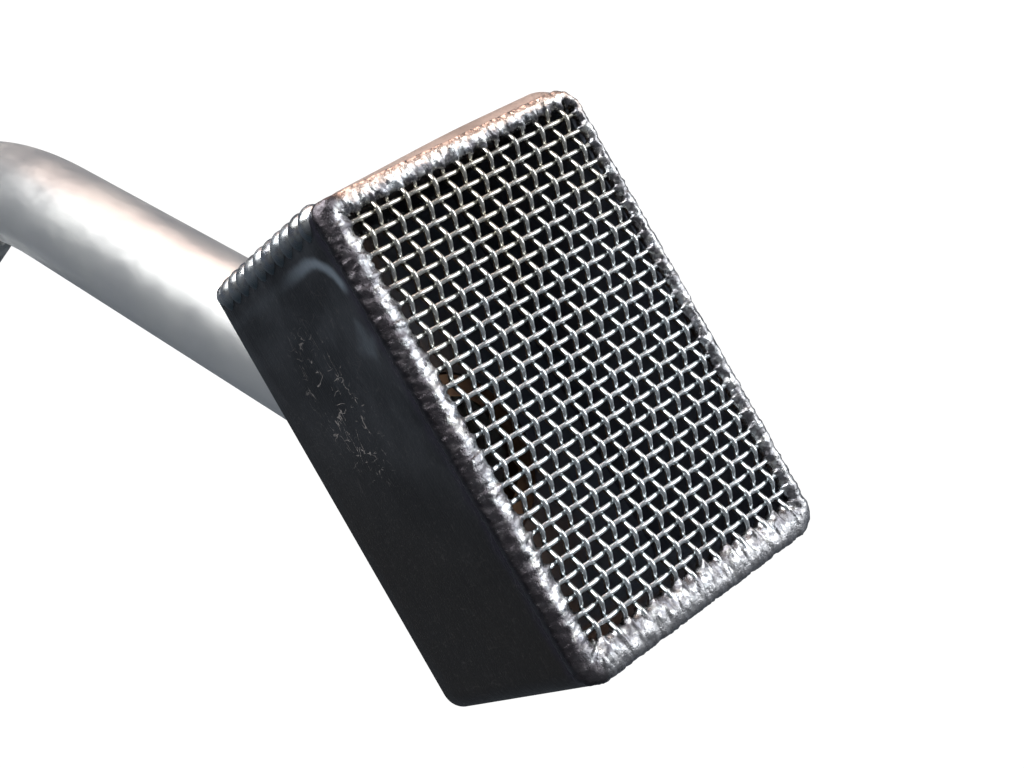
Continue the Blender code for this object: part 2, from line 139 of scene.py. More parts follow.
class WeldSizes(bpy.types.PropertyGroup):
    """Sizes of the weld beads."""

    rim_half_height: length("Rim Half Height", "Half the height of the bead along the rim", 1.3)
    rim_back: length("Rim Back", "How far the rim's weld stays back from the first wires", 1.0)
    tongue: length("Tongue", "How far the weld runs out along each wire", 0.8)
    seam_radius: length("Seam Radius", "Radius of the bead along the corner seam", 1.75)
    seam_pitch: length("Seam Pitch", "Length of one ripple of the corner seam", 2.85, 0.2)
    back_radius: length("Back Radius", "Half width of the bead around the back plate", 1.25)
    back_pitch: length("Back Pitch", "Length of one ripple around the back plate", 1.9, 0.2)
    tube_radius: length("Tube Bead Radius", "Radius of the bead where the tube meets the head", 2.0)
    flange_radius: length("Flange Bead Radius", "Radius of the bead where the tube meets the flange", 2.3)
    gusset_radius: length("Gusset Bead Radius", "Radius of the beads along the gusset", 1.1)
    fillet_pitch: length("Fillet Pitch", "Length of one ripple of the tube's beads", 1.7, 0.2)
    seed: IntProperty(name="Seed", description="Number that picks the beads' unevenness", default=7, min=0)


class TubeSizes(bpy.types.PropertyGroup):
    """Sizes of the bent feed tube."""

    outside: length("Outside Diameter", "Outside diameter of the tube", 17.2)
    wall: length("Wall", "Wall thickness of the tube", 2.3)
    inlet_run: length("Inlet Run", "Height at which the bend starts", 14.0)
    bend: length("Bend Radius", "Radius of the tube's centre line in the bend", 92.0)
    lean: FloatProperty(
        name="Lean",
        description="Angle of the tube's long straight run from upright",
        default=math.radians(39.0),
        subtype="ANGLE",
    )
    step: length("Step", "Length of one piece of the tube's curve", 1.5, 0.2)


class FlangeSizes(bpy.types.PropertyGroup):
    """Sizes of the flange's fasteners and edges."""

    edge: length("Edge", "Rounding of the flange's edges", 0.5)
    gusset_edge: length("Gusset Edge", "Rounding of the gusset's edges", 0.35)
    head_width: length("Screw Head Width", "Distance across the flats of a screw's head", 10.0)
    head_height: length("Screw Head Height", "Height of a screw's head", 4.0)
    shank: length("Shank Diameter", "Outside diameter of a screw's thread", 6.0)
    thread_pitch: length("Thread Pitch", "Rise of one turn of the thread", 1.0, 0.2)
    washer_edge: length("Washer Edge", "Rounding of the washers' edges", 0.25)


class FinishColours(bpy.types.PropertyGroup):
    """Colours of the finishes."""

    sheet_dark: colour("Sheet Dark", "Darker tone of the plated sheet", 0.021, 0.0225, 0.0255)
    sheet_light: colour("Sheet Light", "Lighter tone of the plated sheet", 0.068, 0.074, 0.084)
    sheet_brown: colour(
        "Sheet Brown", "Brown tone of the plated sheet away from the seam", 0.024, 0.020, 0.016
    )
    sheet_bloom: colour("Sheet Bloom", "Blue grey bloom beside the seam weld", 0.26, 0.31, 0.36)
    sheet_haze: colour("Sheet Heat Haze", "Purple blue band under the rim's weld", 0.036, 0.030, 0.050)
    # Painted reflection: a bright rosy colour that stands in for the warm light mirrored by the seam end's
    # wall and rim.
    rosy_reflection_paint: colour("Sheet Rosy", "Rosy brown tone of the wall at the seam end", 0.58, 0.47, 0.41)
    inside_brown: colour("Inside Brown", "Brown oxide inside the head", 0.13, 0.075, 0.045)
    inside_blue: colour("Inside Blue", "Blue black oxide inside the head", 0.060, 0.072, 0.095)
    plating: colour("Plating", "Plated surface of the tube", 0.78, 0.785, 0.775)
    plating_dull: colour("Dull Plating", "Duller patches of the tube's plating", 0.50, 0.53, 0.50)
    wire: colour("Wire", "Bright drawn wire", 0.60, 0.64, 0.66)
    wire_tan: colour("Tanned Wire", "Wire browned by the heat of the weld", 0.40, 0.36, 0.28)
    weld: colour("Weld", "Bright weld metal", 0.52, 0.55, 0.57)
    # Dark weld: oxide in spots and pits, and painted shade with oxide in the ripple valleys.
    weld_dark: colour("Dark Weld", "Oxide in the valleys of the weld", 0.070, 0.066, 0.075)
    # Painted shade: a purple black for the front rim's outer half, which faces the dark floor.
    weld_front_shade: colour(
        "Burnt Weld", "Purple black oxide on the outer half of the front rim", 0.058, 0.052, 0.058
    )
    # Painted shade: a bluish dark for the side of the corner seam's bead that faces away from the light.
    weld_seam_shade: colour("Teal Weld", "Bluish oxide at the foot of the corner seam", 0.035, 0.065, 0.08)
    weld_grey: colour("Grey Weld", "Grey oxide on the outer edge of the other rims", 0.31, 0.31, 0.32)
    flange: colour("Flange Steel", "Plated steel of the flange and gusset", 0.46, 0.47, 0.46)
    flange_dull: colour("Dull Flange Steel", "Duller patches of the flange", 0.25, 0.26, 0.26)
    screw: colour("Screw Steel", "Zinc plated screws and washers", 0.55, 0.56, 0.58)
    screw_dull: colour("Dull Screw Steel", "Duller zinc in hollows", 0.30, 0.31, 0.34)


class StageSettings(bpy.types.PropertyGroup):
    """Floor, lights and camera."""

    floor: colour("Floor", "Colour of the floor", 0.93, 0.93, 0.925)
    floor_gloss: plain("Floor In Gloss", "How bright the floor is where gloss mirrors it", 0.17, 0.0, 1.0)
    sky: plain("Sky", "Brightness of the studio all round", 1.0)
    sheen: plain("Warm Side", "Strength of the warm glow behind the tube", 0.6)
    key: plain("Key Light", "Power of the large soft light over the far side, in watts", 2.9, 0.0, 200.0)
    side: plain("Side Light", "Power of the tall soft light beside the tube, in watts", 5.5, 0.0, 200.0)
    seam: plain(
        "Seam Light", "Power of the soft light that grazes the corner seam, in watts", 3.0, 0.0, 200.0
    )
    warm: plain("Warm Light", "Power of the rosy soft light behind the tube, in watts", 1.7, 0.0, 200.0)
    lens: FloatProperty(name="Lens", description="Focal length in millimetres", default=57.93, min=10.0)
    heading: FloatProperty(
        name="Heading",
        description="Turn of the view from +Y towards +X",
        default=math.radians(2.97),
        subtype="ANGLE",
    )
    down: FloatProperty(
        name="Down", description="How far the view looks down", default=math.radians(58.31), subtype="ANGLE"
    )
    roll: FloatProperty(
        name="Roll",
        description="Roll of the camera about its own axis",
        default=math.radians(62.86),
        subtype="ANGLE",
    )
    eye: FloatVectorProperty(
        name="Eye",
        description="Place of the camera",
        default=(0.0750, -0.1012, 0.3342),
        size=3,
        subtype="TRANSLATION",
    )


# ---------------------------------------------------------------- node trees


class Value:
    """A node's output that can be added, subtracted, multiplied and divided like a number."""

    def __init__(self, tree, socket):
        self.tree, self.socket = tree, socket

    def __add__(self, other):
        return self.tree.math("ADD", self, other)

    def __radd__(self, other):
        return self.tree.math("ADD", other, self)

    def __sub__(self, other):
        return self.tree.math("SUBTRACT", self, other)

    def __rsub__(self, other):
        return self.tree.math("SUBTRACT", other, self)

    def __mul__(self, other):
        return self.tree.math("MULTIPLY", self, other)

    def __rmul__(self, other):
        return self.tree.math("MULTIPLY", other, self)

    def __truediv__(self, other):
        return self.tree.math("DIVIDE", self, other)

    def __rtruediv__(self, other):
        return self.tree.math("DIVIDE", other, self)


class Tree:
    """Builds a node tree: makes nodes, feeds their inputs by name or number, and sets them out in columns."""

    def __init__(self, tree):
        self.tree = tree
        self.count = 0

    def node(self, kind, inputs=None, **settings):
        made = self.tree.nodes.new(kind)
        made.location = (230 * (self.count // 5), -210 * (self.count % 5))
        self.count += 1
        for key, value in settings.items():
            setattr(made, key, value)
        for key, value in (inputs or {}).items():
            self.feed(made, key, value)
        return made

    def feed(self, node, key, value):
        if isinstance(value, Value):
            value = value.socket
        if isinstance(value, bpy.types.NodeSocket):
            self.tree.links.new(value, node.inputs[key])
        else:
            node.inputs[key].default_value = value

    def out(self, kind, inputs=None, socket=0, **settings):
        """Makes a node and returns one of its outputs."""
        return Value(self, self.node(kind, inputs, **settings).outputs[socket])

    def math(self, operation, *values):
        return self.out("ShaderNodeMath", dict(enumerate(values)), operation=operation)

    def vector(self, operation, *values):
        result = "Value" if operation in {"DOT_PRODUCT", "LENGTH"} else "Vector"
        return self.out("ShaderNodeVectorMath", dict(enumerate(values)), result, operation=operation)

    def scaled(self, vector, factor):
        return self.out("ShaderNodeVectorMath", {0: vector, "Scale": factor}, operation="SCALE")

    def parts(self, vector):
        return [Value(self, part) for part in self.node("ShaderNodeSeparateXYZ", {0: vector}).outputs]

    def joined(self, x=0.0, y=0.0, z=0.0):
        return self.out("ShaderNodeCombineXYZ", {0: x, 1: y, 2: z})

    def noise(self, vector, scale, detail=2.0, roughness=0.5, seed=0.0, distortion=0.0):
        made = self.node("ShaderNodeTexNoise", None, noise_dimensions="4D")
        inputs = {"Vector": vector, "W": seed, "Scale": scale, "Detail": detail}
        inputs.update({"Roughness": roughness, "Distortion": distortion})
        for key, value in inputs.items():
            self.feed(made, key, value)
        return Value(self, made.outputs["Fac"])

    def step(self, value, low, high, to_low=0.0, to_high=1.0):
        inputs = {"Value": value, "From Min": low, "From Max": high, "To Min": to_low, "To Max": to_high}
        return self.out("ShaderNodeMapRange", inputs, "Result", interpolation_type="SMOOTHSTEP")

    def blend(self, factor, first, second):
        """A colour between two; a colour given as three numbers is opaque."""
        made = self.node("ShaderNodeMix", None, data_type="RGBA")
        for key, value in ((0, factor), (6, first), (7, second)):
            linked = isinstance(value, (Value, float, int, bpy.types.NodeSocket))
            self.feed(made, key, value if linked else (*value, 1.0))
        return Value(self, made.outputs[2])


def named_group(name, kind, inputs, outputs):
    """A node group with named sockets. Returns its builder, its inputs and its output node."""
    group = bpy.data.node_groups.new(name, kind)
    for label, socket, default in inputs:
        made = group.interface.new_socket(label, in_out="INPUT", socket_type="NodeSocket" + socket)
        if default is not None:
            made.default_value = default
    for label, socket in outputs:
        group.interface.new_socket(label, in_out="OUTPUT", socket_type="NodeSocket" + socket)
    tree = Tree(group)
    source = tree.node("NodeGroupInput")
    return tree, {socket.name: Value(tree, socket) for socket in source.outputs if socket.name}


def close_group(tree, results):
    """Feeds a group's outputs and returns the group."""
    tree.node("NodeGroupOutput", results)
    return tree.tree


# ---------------------------------------------------------------- geometry trees


def bead_tree():
    """A weld bead that follows the edges of a path, with ripples, lumps and tongues along the wires."""
    tree, given = named_group(
        "Weld Bead",
        "GeometryNodeTree",
        (
            ("Geometry", "Geometry", None),
            ("Step", "Float", 0.2 * MM),
            ("Sides", "Int", 20),
            ("Ripple Pitch", "Float", 2.0 * MM),
            ("Ripple Height", "Float", 0.1 * MM),
            ("Ripple Slant", "Float", 1.0 * MM),
            ("Ripple Bend", "Float", 0.6),
            ("Ripple Sway", "Float", 0.2),
            ("Lump Height", "Float", 0.1 * MM),
            ("Lump Size", "Float", 1.5 * MM),
            ("Grain Height", "Float", 0.05 * MM),
            ("Grain Size", "Float", 0.4 * MM),
            ("Tongue", "Float", 0.0),
            ("Seed", "Float", 1.0),
            ("Low Corner", "Vector", (-1.0, -1.0, -1.0)),
            ("High Corner", "Vector", (1.0, 1.0, 1.0)),
            ("Material", "Material", None),
        ),
        (("Geometry", "Geometry"),),
    )
    curve = tree.out("GeometryNodeMeshToCurve", {0: given["Geometry"]})
    curve = tree.out("GeometryNodeResampleCurve", {"Curve": curve, "Length": given["Step"]}, mode="LENGTH")
    curve = tree.out("GeometryNodeSetCurveNormal", {0: curve}, mode="Z_UP")
    keep = tree.node("GeometryNodeCaptureAttribute", {0: curve}, domain="POINT")
    keep.capture_items.new("VECTOR", "Centre")
    keep.capture_items.new("FLOAT", "Run")
    tree.feed(keep, 1, tree.out("GeometryNodeInputPosition"))
    tree.feed(keep, 2, tree.out("GeometryNodeSplineParameter", socket="Length"))
    ring = tree.out("GeometryNodeCurvePrimitiveCircle", {"Resolution": given["Sides"], "Radius": MM})
    inputs = {"Curve": keep.outputs[0], "Profile Curve": ring, "Fill Caps": True}
    mesh = tree.out("GeometryNodeCurveToMesh", inputs)
    centre, run = (Value(tree, keep.outputs[i]) for i in (1, 2))

    def stored(name, kind):
        return tree.out("GeometryNodeInputNamedAttribute", {"Name": name}, data_type=kind)

    place = tree.out("GeometryNodeInputPosition")
    offset = tree.scaled(tree.vector("SUBTRACT", place, centre), 1.0 / MM)
    wide, high = stored("half_width", "FLOAT"), stored("half_height", "FLOAT")
    shaped = tree.vector("MULTIPLY", offset, tree.joined(wide, wide, high))
    outward = tree.vector("NORMALIZE", shaped)
    facing = tree.vector("DOT_PRODUCT", outward, stored("facing", "FLOAT_VECTOR"))
    lag = given["Ripple Slant"] * (1.0 - facing)
    sway = tree.noise(centre, 260.0, 1.0, seed=given["Seed"])
    phase = (run + lag) / given["Ripple Pitch"]
    phase = phase + sway * (given["Ripple Sway"] * 6.0)
    within = tree.math("FRACT", phase)
    hump = tree.math("SINE", tree.math("POWER", within, given["Ripple Bend"]) * math.pi)
    rise = (hump - 0.6) * given["Ripple Height"]

    def roughness(size, height, detail, seed):
        raw = tree.noise(place_now, 1.0 / size, detail, 0.55, seed)
        return (raw - 0.5) * 3.2 * height

    place_now = tree.vector("ADD", centre, shaped)
    rise = rise + roughness(given["Lump Size"], given["Lump Height"], 1.0, given["Seed"])
    rise = rise + roughness(given["Grain Size"], given["Grain Height"], 2.0, given["Seed"] + 3.7)
    moved = tree.vector("ADD", place_now, tree.scaled(outward, rise))
    inward = stored("inward", "FLOAT_VECTOR")
    lean_in = tree.math("MAXIMUM", tree.vector("DOT_PRODUCT", outward, inward), 0.0)
    crest = tree.math("COSINE", stored("wire_phase", "FLOAT") * (2.0 * math.pi))
    crest = tree.math("POWER", tree.math("MULTIPLY_ADD", crest, 0.5, 0.5), 3.0)
    uneven = tree.math("MULTIPLY_ADD", tree.noise(centre, 420.0, 1.0, seed=given["Seed"]), 2.4, -0.3)
    reach = crest * uneven * (lean_in * given["Tongue"])
    moved = tree.vector("ADD", moved, tree.scaled(inward, reach))
    moved = tree.vector("MINIMUM", tree.vector("MAXIMUM", moved, given["Low Corner"]), given["High Corner"])
    alone = 1.0 - tree.vector("LENGTH", inward)
    outer = (tree.vector("DOT_PRODUCT", outward, inward) + alone * 2.0) * -1.0
    for label, value in (("ripple", hump), ("outer_edge", outer)):
        inputs = {"Geometry": mesh, "Name": label, "Value": value}
        mesh = tree.out("GeometryNodeStoreNamedAttribute", inputs, data_type="FLOAT", domain="POINT")
    mesh = tree.out("GeometryNodeSetPosition", {"Geometry": mesh, "Position": moved})
    mesh = tree.out("GeometryNodeSetShadeSmooth", {"Geometry": mesh})
    mesh = tree.out("GeometryNodeRealizeInstances", {"Geometry": mesh})
    mesh = tree.out("GeometryNodeSetMaterial", {"Geometry": mesh, "Material": given["Material"]})
    return close_group(tree, {0: mesh})


def cloth_tree():
    """Plain woven cloth: wires along X and Y that pass over and under each other in turn."""
    tree, given = named_group(
        "Woven Cloth",
        "GeometryNodeTree",
        (
            ("Geometry", "Geometry", None),
            ("Low End", "Vector", (0.0, 0.0, 0.0)),
            ("High End", "Vector", (0.1, 0.1, 0.0)),
            ("First Crossing", "Vector", (0.0, 0.0, 0.0)),
            ("Pitch", "Float", 2.0 * MM),
            ("Short Wires", "Int", 26),
            ("Long Wires", "Int", 16),
            ("Wire Radius", "Float", 0.25 * MM),
            ("Long Wire Rise", "Float", 0.36 * MM),
            ("Short Wire Rise", "Float", 0.14 * MM),
            ("Wander", "Float", 0.05 * MM),
            ("Step", "Float", 0.25 * MM),
            ("Sides", "Int", 10),
            ("Seed", "Float", 2.0),
            ("Material", "Material", None),
        ),
        (("Geometry", "Geometry"),),
    )
    low, high, first = (tree.parts(given[n]) for n in ("Low End", "High End", "First Crossing"))
    sets = (
        (
            tree.joined(0.0, low[1], first[2]),
            tree.joined(0.0, high[1], first[2]),
            tree.joined(first[0]),
            tree.joined(given["Pitch"]),
            "Short Wires",
            given["Short Wire Rise"],
        ),
        (
            tree.joined(low[0], 0.0, first[2]),
            tree.joined(high[0], 0.0, first[2]),
            tree.joined(0.0, first[1]),
            tree.joined(0.0, given["Pitch"]),
            "Long Wires",
            given["Long Wire Rise"] * -1.0,
        ),
    )
    ring = tree.out(
        "GeometryNodeCurvePrimitiveCircle", {"Resolution": given["Sides"], "Radius": given["Wire Radius"]}
    )
    join = tree.node("GeometryNodeJoinGeometry")
    for start, end, line_start, offset, count, rise in sets:
        wire = tree.out("GeometryNodeCurvePrimitiveLine", {"Start": start, "End": end})
        places = tree.out(
            "GeometryNodeMeshLine", {"Count": given[count], "Start Location": line_start, "Offset": offset}
        )
        wires = tree.out("GeometryNodeInstanceOnPoints", {"Points": places, "Instance": wire})
        wires = tree.out("GeometryNodeRealizeInstances", {"Geometry": wires})
        wires = tree.out(
            "GeometryNodeResampleCurve", {"Curve": wires, "Length": given["Step"]}, mode="LENGTH"
        )
        place = tree.out("GeometryNodeInputPosition")
        turn = tree.scaled(tree.vector("SUBTRACT", place, given["First Crossing"]), math.pi / given["Pitch"])
        x, y = tree.parts(turn)[:2]
        weave = tree.math("COSINE", x) * tree.math("COSINE", y)
        lift = weave * rise
        strays = []
        for shift in (0.0, 5.3, 11.9):
            raw = tree.noise(place, 90.0, 1.0, seed=given["Seed"] + shift)
            strays.append((raw - 0.5) * (given["Wander"] * 3.0))
        lift = lift + strays[2] * 0.4
        wires = tree.out(
            "GeometryNodeSetPosition", {"Geometry": wires, "Offset": tree.joined(strays[0], strays[1], lift)}
        )
        inputs = {"Curve": wires, "Profile Curve": ring, "Fill Caps": True}
        tree.feed(join, 0, tree.out("GeometryNodeCurveToMesh", inputs))
    mesh = tree.out("GeometryNodeSetShadeSmooth", {"Geometry": join.outputs[0]})
    mesh = tree.out("GeometryNodeRealizeInstances", {"Geometry": mesh})
    mesh = tree.out("GeometryNodeSetMaterial", {"Geometry": mesh, "Material": given["Material"]})
    return close_group(tree, {0: mesh})


def screw_tree():
    """Screws in a row: the given body with a thread wound round its shank, once at each place."""
    tree, given = named_group(
        "Screw Row",
        "GeometryNodeTree",
        (
            ("Geometry", "Geometry", None),
            ("Count", "Int", 2),
            ("First Place", "Vector", (0.0, 0.0, 0.0)),
            ("Spacing", "Vector", (0.0, 0.0, 0.0)),
            ("Thread Radius", "Float", 2.7 * MM),
            ("Thread Depth", "Float", 0.35 * MM),
            ("Thread Bottom", "Float", 0.0),
            ("Thread Pitch", "Float", 1.0 * MM),
            ("Thread Turns", "Float", 12.0),
            ("Material", "Material", None),
        ),
        (("Geometry", "Geometry"),),
    )
    rise = given["Thread Pitch"] * given["Thread Turns"]
    spiral = tree.out(
        "GeometryNodeCurveSpiral",
        {
            "Resolution": 28,
            "Rotations": given["Thread Turns"],
            "Start Radius": given["Thread Radius"],
            "End Radius": given["Thread Radius"],
            "Height": rise,
        },
    )
    ridge = tree.out("GeometryNodeCurvePrimitiveCircle", {"Resolution": 4, "Radius": given["Thread Depth"]})
    thread = tree.out("GeometryNodeCurveToMesh", {"Curve": spiral, "Profile Curve": ridge, "Fill Caps": True})
    thread = tree.out(
        "GeometryNodeTransform",
        {"Geometry": thread, "Translation": tree.joined(0.0, 0.0, given["Thread Bottom"])},
    )
    join = tree.node("GeometryNodeJoinGeometry")
    for part in (thread, given["Geometry"]):
        tree.feed(join, 0, part)
    places = tree.out(
        "GeometryNodeMeshLine",
        {"Count": given["Count"], "Start Location": given["First Place"], "Offset": given["Spacing"]},
    )
    turn = tree.joined(0.0, 0.0, tree.out("GeometryNodeInputIndex") * 0.4)
    turn = tree.out("FunctionNodeEulerToRotation", {0: turn})
    made = tree.out(
        "GeometryNodeInstanceOnPoints", {"Points": places, "Instance": join.outputs[0], "Rotation": turn}
    )
    made = tree.out("GeometryNodeRealizeInstances", {"Geometry": made})
    made = tree.out("GeometryNodeSetMaterial", {"Geometry": made, "Material": given["Material"]})
    return close_group(tree, {0: made})


# ---------------------------------------------------------------- mesh work


def tree_named(name, maker):
    """A geometry tree by name, made the first time it is asked for."""
    return bpy.data.node_groups.get(name) or maker()


def plain_mesh(obj, name):
    """The object's evaluated shape as a plain mesh; the object itself is removed."""
    depsgraph = bpy.context.evaluated_depsgraph_get()
    mesh = bpy.data.meshes.new_from_object(obj.evaluated_get(depsgraph), depsgraph=depsgraph)
    obj.modifiers.clear()
    source = obj.data
    bpy.data.objects.remove(obj)
    bpy.data.meshes.remove(source)
    mesh.name = name
    return mesh


def point_outwards(mesh):
    """Turns every closed shell's faces outwards."""
    shape = bmesh.new()
    shape.from_mesh(mesh)
    bmesh.ops.recalc_face_normals(shape, faces=shape.faces)
    shape.to_mesh(mesh)
    shape.free()


def shaded(mesh, angle=35.0):
    """Smooth shading that keeps the edges sharper than the angle."""
    mesh.shade_smooth()
    mesh.set_sharp_from_angle(angle=math.radians(angle))
    return mesh


def settle(name, mesh, slot, nodes):
    """Puts a finished mesh in the scene as a piece that stands for its CAD nodes."""
    piece = bpy.data.objects.new(name, mesh)
    bpy.context.scene.collection.objects.link(piece)
    if not mesh.materials or mesh.materials[0] is None:
        mesh.materials.clear()
        mesh.materials.append(finish(slot))
    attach(piece, BODY)
    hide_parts(*nodes)
    return piece


def finish(slot):
    """The finish made for a material slot."""
    made = bpy.data.materials.get("finish_" + slot)
    if made is None:
        raise RuntimeError(f"the finish for {slot} has not been made yet")
    return made


def grow(name, source, tree, values):
    """Runs a geometry tree on a source mesh and returns the plain mesh."""
    obj = bpy.data.objects.new(name + "_source", source)
    bpy.context.scene.collection.objects.link(obj)
    modifier = obj.modifiers.new("Tree", "NODES")
    modifier.node_group = tree
    for item in tree.interface.items_tree:
        if item.in_out == "INPUT" and item.name in values:
            modifier[item.identifier] = values[item.name]
    mesh = plain_mesh(obj, name)
    point_outwards(mesh)
    return mesh


def lofted(name, rings, closed_tube=False, caps=False):
    """A skin over rings of equal length; a closed tube joins last ring to first, caps close the ends."""
    shape = bmesh.new()
    rows = [[shape.verts.new(point) for point in ring] for ring in rings]
    pairs = list(zip(rows, rows[1:] + rows[:1])) if closed_tube else list(zip(rows, rows[1:]))
    for low, high in pairs:
        for i in range(len(low)):
            j = (i + 1) % len(low)
            shape.faces.new((low[i], low[j], high[j], high[i]))
    if caps:
        shape.faces.new(reversed(rows[0]))
        shape.faces.new(rows[-1])
    bmesh.ops.recalc_face_normals(shape, faces=shape.faces)
    mesh = bpy.data.meshes.new(name)
    shape.to_mesh(mesh)
    shape.free()
    return mesh


LEAST_RADIUS = 0.02 * MM


def rounded_outline(low, high, radii, inset, z, steps=14):
    """A rectangle with its own radius at each corner, from the low corner onwards, anticlockwise."""
    points = []
    corners = ((low.x, low.y, 180.0), (high.x, low.y, 270.0), (high.x, high.y, 0.0), (low.x, high.y, 90.0))
    for (x, y, start), radius in zip(corners, radii):
        side_x = 1.0 if x == low.x else -1.0
        side_y = 1.0 if y == low.y else -1.0
        middle = Vector((x + side_x * radius, y + side_y * radius))
        reach = max(radius - inset, LEAST_RADIUS)
        shift = max(inset - radius, 0.0)
        middle += Vector((side_x * shift, side_y * shift))
        for i in range(steps + 1):
            angle = math.radians(start + 90.0 * i / steps)
            points.append((middle.x + reach * math.cos(angle), middle.y + reach * math.sin(angle), z))
    return points


EDGE_SEGMENTS = 3
MERGE_DISTANCE = 0.005 * MM


def refined_copy(node, name, edge, angle=35.0):
    """A CAD node's shape with its loose triangles merged and its edges rounded."""
    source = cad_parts[node].data
    shape = bmesh.new()
    corners = [shape.verts.new(v.co) for v in source.vertices]
    for face in source.polygons:
        shape.faces.new([corners[i] for i in face.vertices])
    bmesh.ops.remove_doubles(shape, verts=shape.verts, dist=MERGE_DISTANCE)
    bmesh.ops.dissolve_limit(shape, angle_limit=math.radians(1.0), verts=shape.verts, edges=shape.edges)
    bmesh.ops.recalc_face_normals(shape, faces=shape.faces)
    mesh = bpy.data.meshes.new(name)
    shape.to_mesh(mesh)
    shape.free()
    obj = bpy.data.objects.new(name + "_source", mesh)
    bpy.context.scene.collection.objects.link(obj)
    bevel = obj.modifiers.new("Edge", "BEVEL")
    bevel.width, bevel.segments, bevel.limit_method = edge, EDGE_SEGMENTS, "ANGLE"
    bevel.angle_limit = math.radians(angle)
    return shaded(plain_mesh(obj, name), 40.0)


Station = namedtuple("Station", "place half_width half_height facing inward wire_phase")


def station(place, half_width, half_height=None, facing=(0, 0, 1), inward=(0, 0, 0), wire_phase=0.0):
    """One point of a bead's path: where it is, how big the bead is there and which way it faces."""
    return Station(
        Vector(place), half_width, half_height or half_width, Vector(facing), Vector(inward), wire_phase
    )


def bead_path(name, stations, closed):
    """A path mesh whose points carry the bead's sizes."""
    mesh = bpy.data.meshes.new(name)
    count = len(stations)
    edges = [(i, i + 1) for i in range(count - 1)] + ([(count - 1, 0)] if closed else [])
    mesh.from_pydata([s.place for s in stations], edges, [])
    for field, kind in (
        ("half_width", "FLOAT"),
        ("half_height", "FLOAT"),
        ("wire_phase", "FLOAT"),
        ("facing", "FLOAT_VECTOR"),
        ("inward", "FLOAT_VECTOR"),
    ):
        layer = mesh.attributes.new(field, kind, "POINT")
        for entry, one in zip(layer.data, stations):
            if kind == "FLOAT":
                entry.value = getattr(one, field)
            else:
                entry.vector = getattr(one, field)
    return mesh


def bead(name, stations, closed, nodes, **values):
    """A finished weld bead along its stations."""
    tree = tree_named("Weld Bead", bead_tree)
    path = bead_path(name + "_path", stations, closed)
    settings = {"Material": finish("weld_metal"), "Seed": float(bpy.context.scene.burner_welds.seed)}
    settings.update({label.replace("_", " ").title(): value for label, value in values.items()})
    return settle(name, grow(name, path, tree, settings), "weld_metal", nodes)


def bead_shape(step, sides, sway, ripple, lump, grain):
    """A bead's settings in millimetres: ripple as height and slant, lump and grain as height and size."""
    return {
        "step": step * MM,
        "sides": sides,
        "ripple_sway": sway,
        "ripple_height": ripple[0] * MM,
        "ripple_slant": ripple[1] * MM,
        "lump_height": lump[0] * MM,
        "lump_size": lump[1] * MM,
        "grain_height": grain[0] * MM,
        "grain_size": grain[1] * MM,
    }


RIM_BEAD = bead_shape(0.16, 28, 0.5, (0.04, 0.9), (0.19, 1.0), (0.10, 0.45))
SEAM_BEAD = bead_shape(0.14, 36, 0.06, (0.80, 0.8), (0.05, 2.2), (0.005, 0.5))
BACK_BEAD = bead_shape(0.2, 20, 0.15, (0.22, 0.9), (0.08, 2.0), (0.03, 0.5))
FILLET_BEAD = bead_shape(0.22, 24, 0.15, (0.26, 1.2), (0.12, 2.4), (0.03, 0.5))
GUSSET_BEAD = bead_shape(0.18, 20, 0.15, (0.16, 0.7), (0.06, 1.6), (0.02, 0.4))
GUSSET_PITCH = 1.3 * MM
RIM_PITCH = 2.0 * MM


def tapered(fraction, share=0.12):
    """How full a bead is at a fraction of its length: thin at both ends, full between them."""
    edge = min(fraction, 1.0 - fraction) / share
    return 1.0 if edge >= 1.0 else 0.35 + 0.65 * math.sin(edge * math.pi / 2.0)


# ---------------------------------------------------------------- finishes


def skin_group():
    """Slow patches and a drawn grain, for every metal finish."""
    tree, given = named_group(
        "Metal Skin",
        "ShaderNodeTree",
        (
            ("Vector", "Vector", None),
            ("Patch Size", "Float", 8.0),
            ("Grain Stretch", "Vector", (0.1, 2.0, 2.0)),
            ("Grain Scale", "Float", 1.0),
            ("Seed", "Float", 0.0),
        ),
        (("Patches", "Float"), ("Grain", "Float"), ("Pores", "Float")),
    )
    patches = tree.noise(given["Vector"], 1.0 / given["Patch Size"], 3.0, 0.55, given["Seed"], 0.4)
    patches = tree.step(patches, 0.32, 0.68)
    along = tree.vector("MULTIPLY", given["Vector"], given["Grain Stretch"])
    grain = tree.noise(along, given["Grain Scale"], 4.0, 0.65, given["Seed"])
    pores = tree.noise(given["Vector"], given["Grain Scale"] * 3.0, 2.0, 0.6, given["Seed"])
    return close_group(tree, {"Patches": patches, "Grain": tree.step(grain, 0.25, 0.75), "Pores": pores})


def scratch_group():
    """Short curved hairlines."""
    tree, given = named_group(
        "Hairlines",
        "ShaderNodeTree",
        (
            ("Vector", "Vector", None),
            ("Spacing", "Float", 4.0),
            ("Width", "Float", 0.02),
            ("Amount", "Float", 0.5),
            ("Seed", "Float", 0.0),
        ),
        (("Mask", "Float"),),
    )
    scale = 1.0 / given["Spacing"]
    masks = []
    for shift, stretch in ((0.0, (1.0, 1.0, 0.35)), (4.1, (0.4, 1.0, 1.2))):
        vector = tree.vector("MULTIPLY", given["Vector"], stretch)
        seed = given["Seed"] + shift
        line = tree.math("ABSOLUTE", tree.noise(vector, scale, 1.5, 0.5, seed, 0.6) - 0.5)
        line = tree.step(line, 0.0, given["Width"], 1.0, 0.0)
        gap = tree.noise(vector, scale * 1.7, 1.0, 0.5, seed + 9.0)
        limit = 0.95 - given["Amount"] * 0.7
        masks.append(line * tree.step(gap, limit, limit + 0.06))
    return close_group(tree, {"Mask": tree.math("MAXIMUM", *masks)})


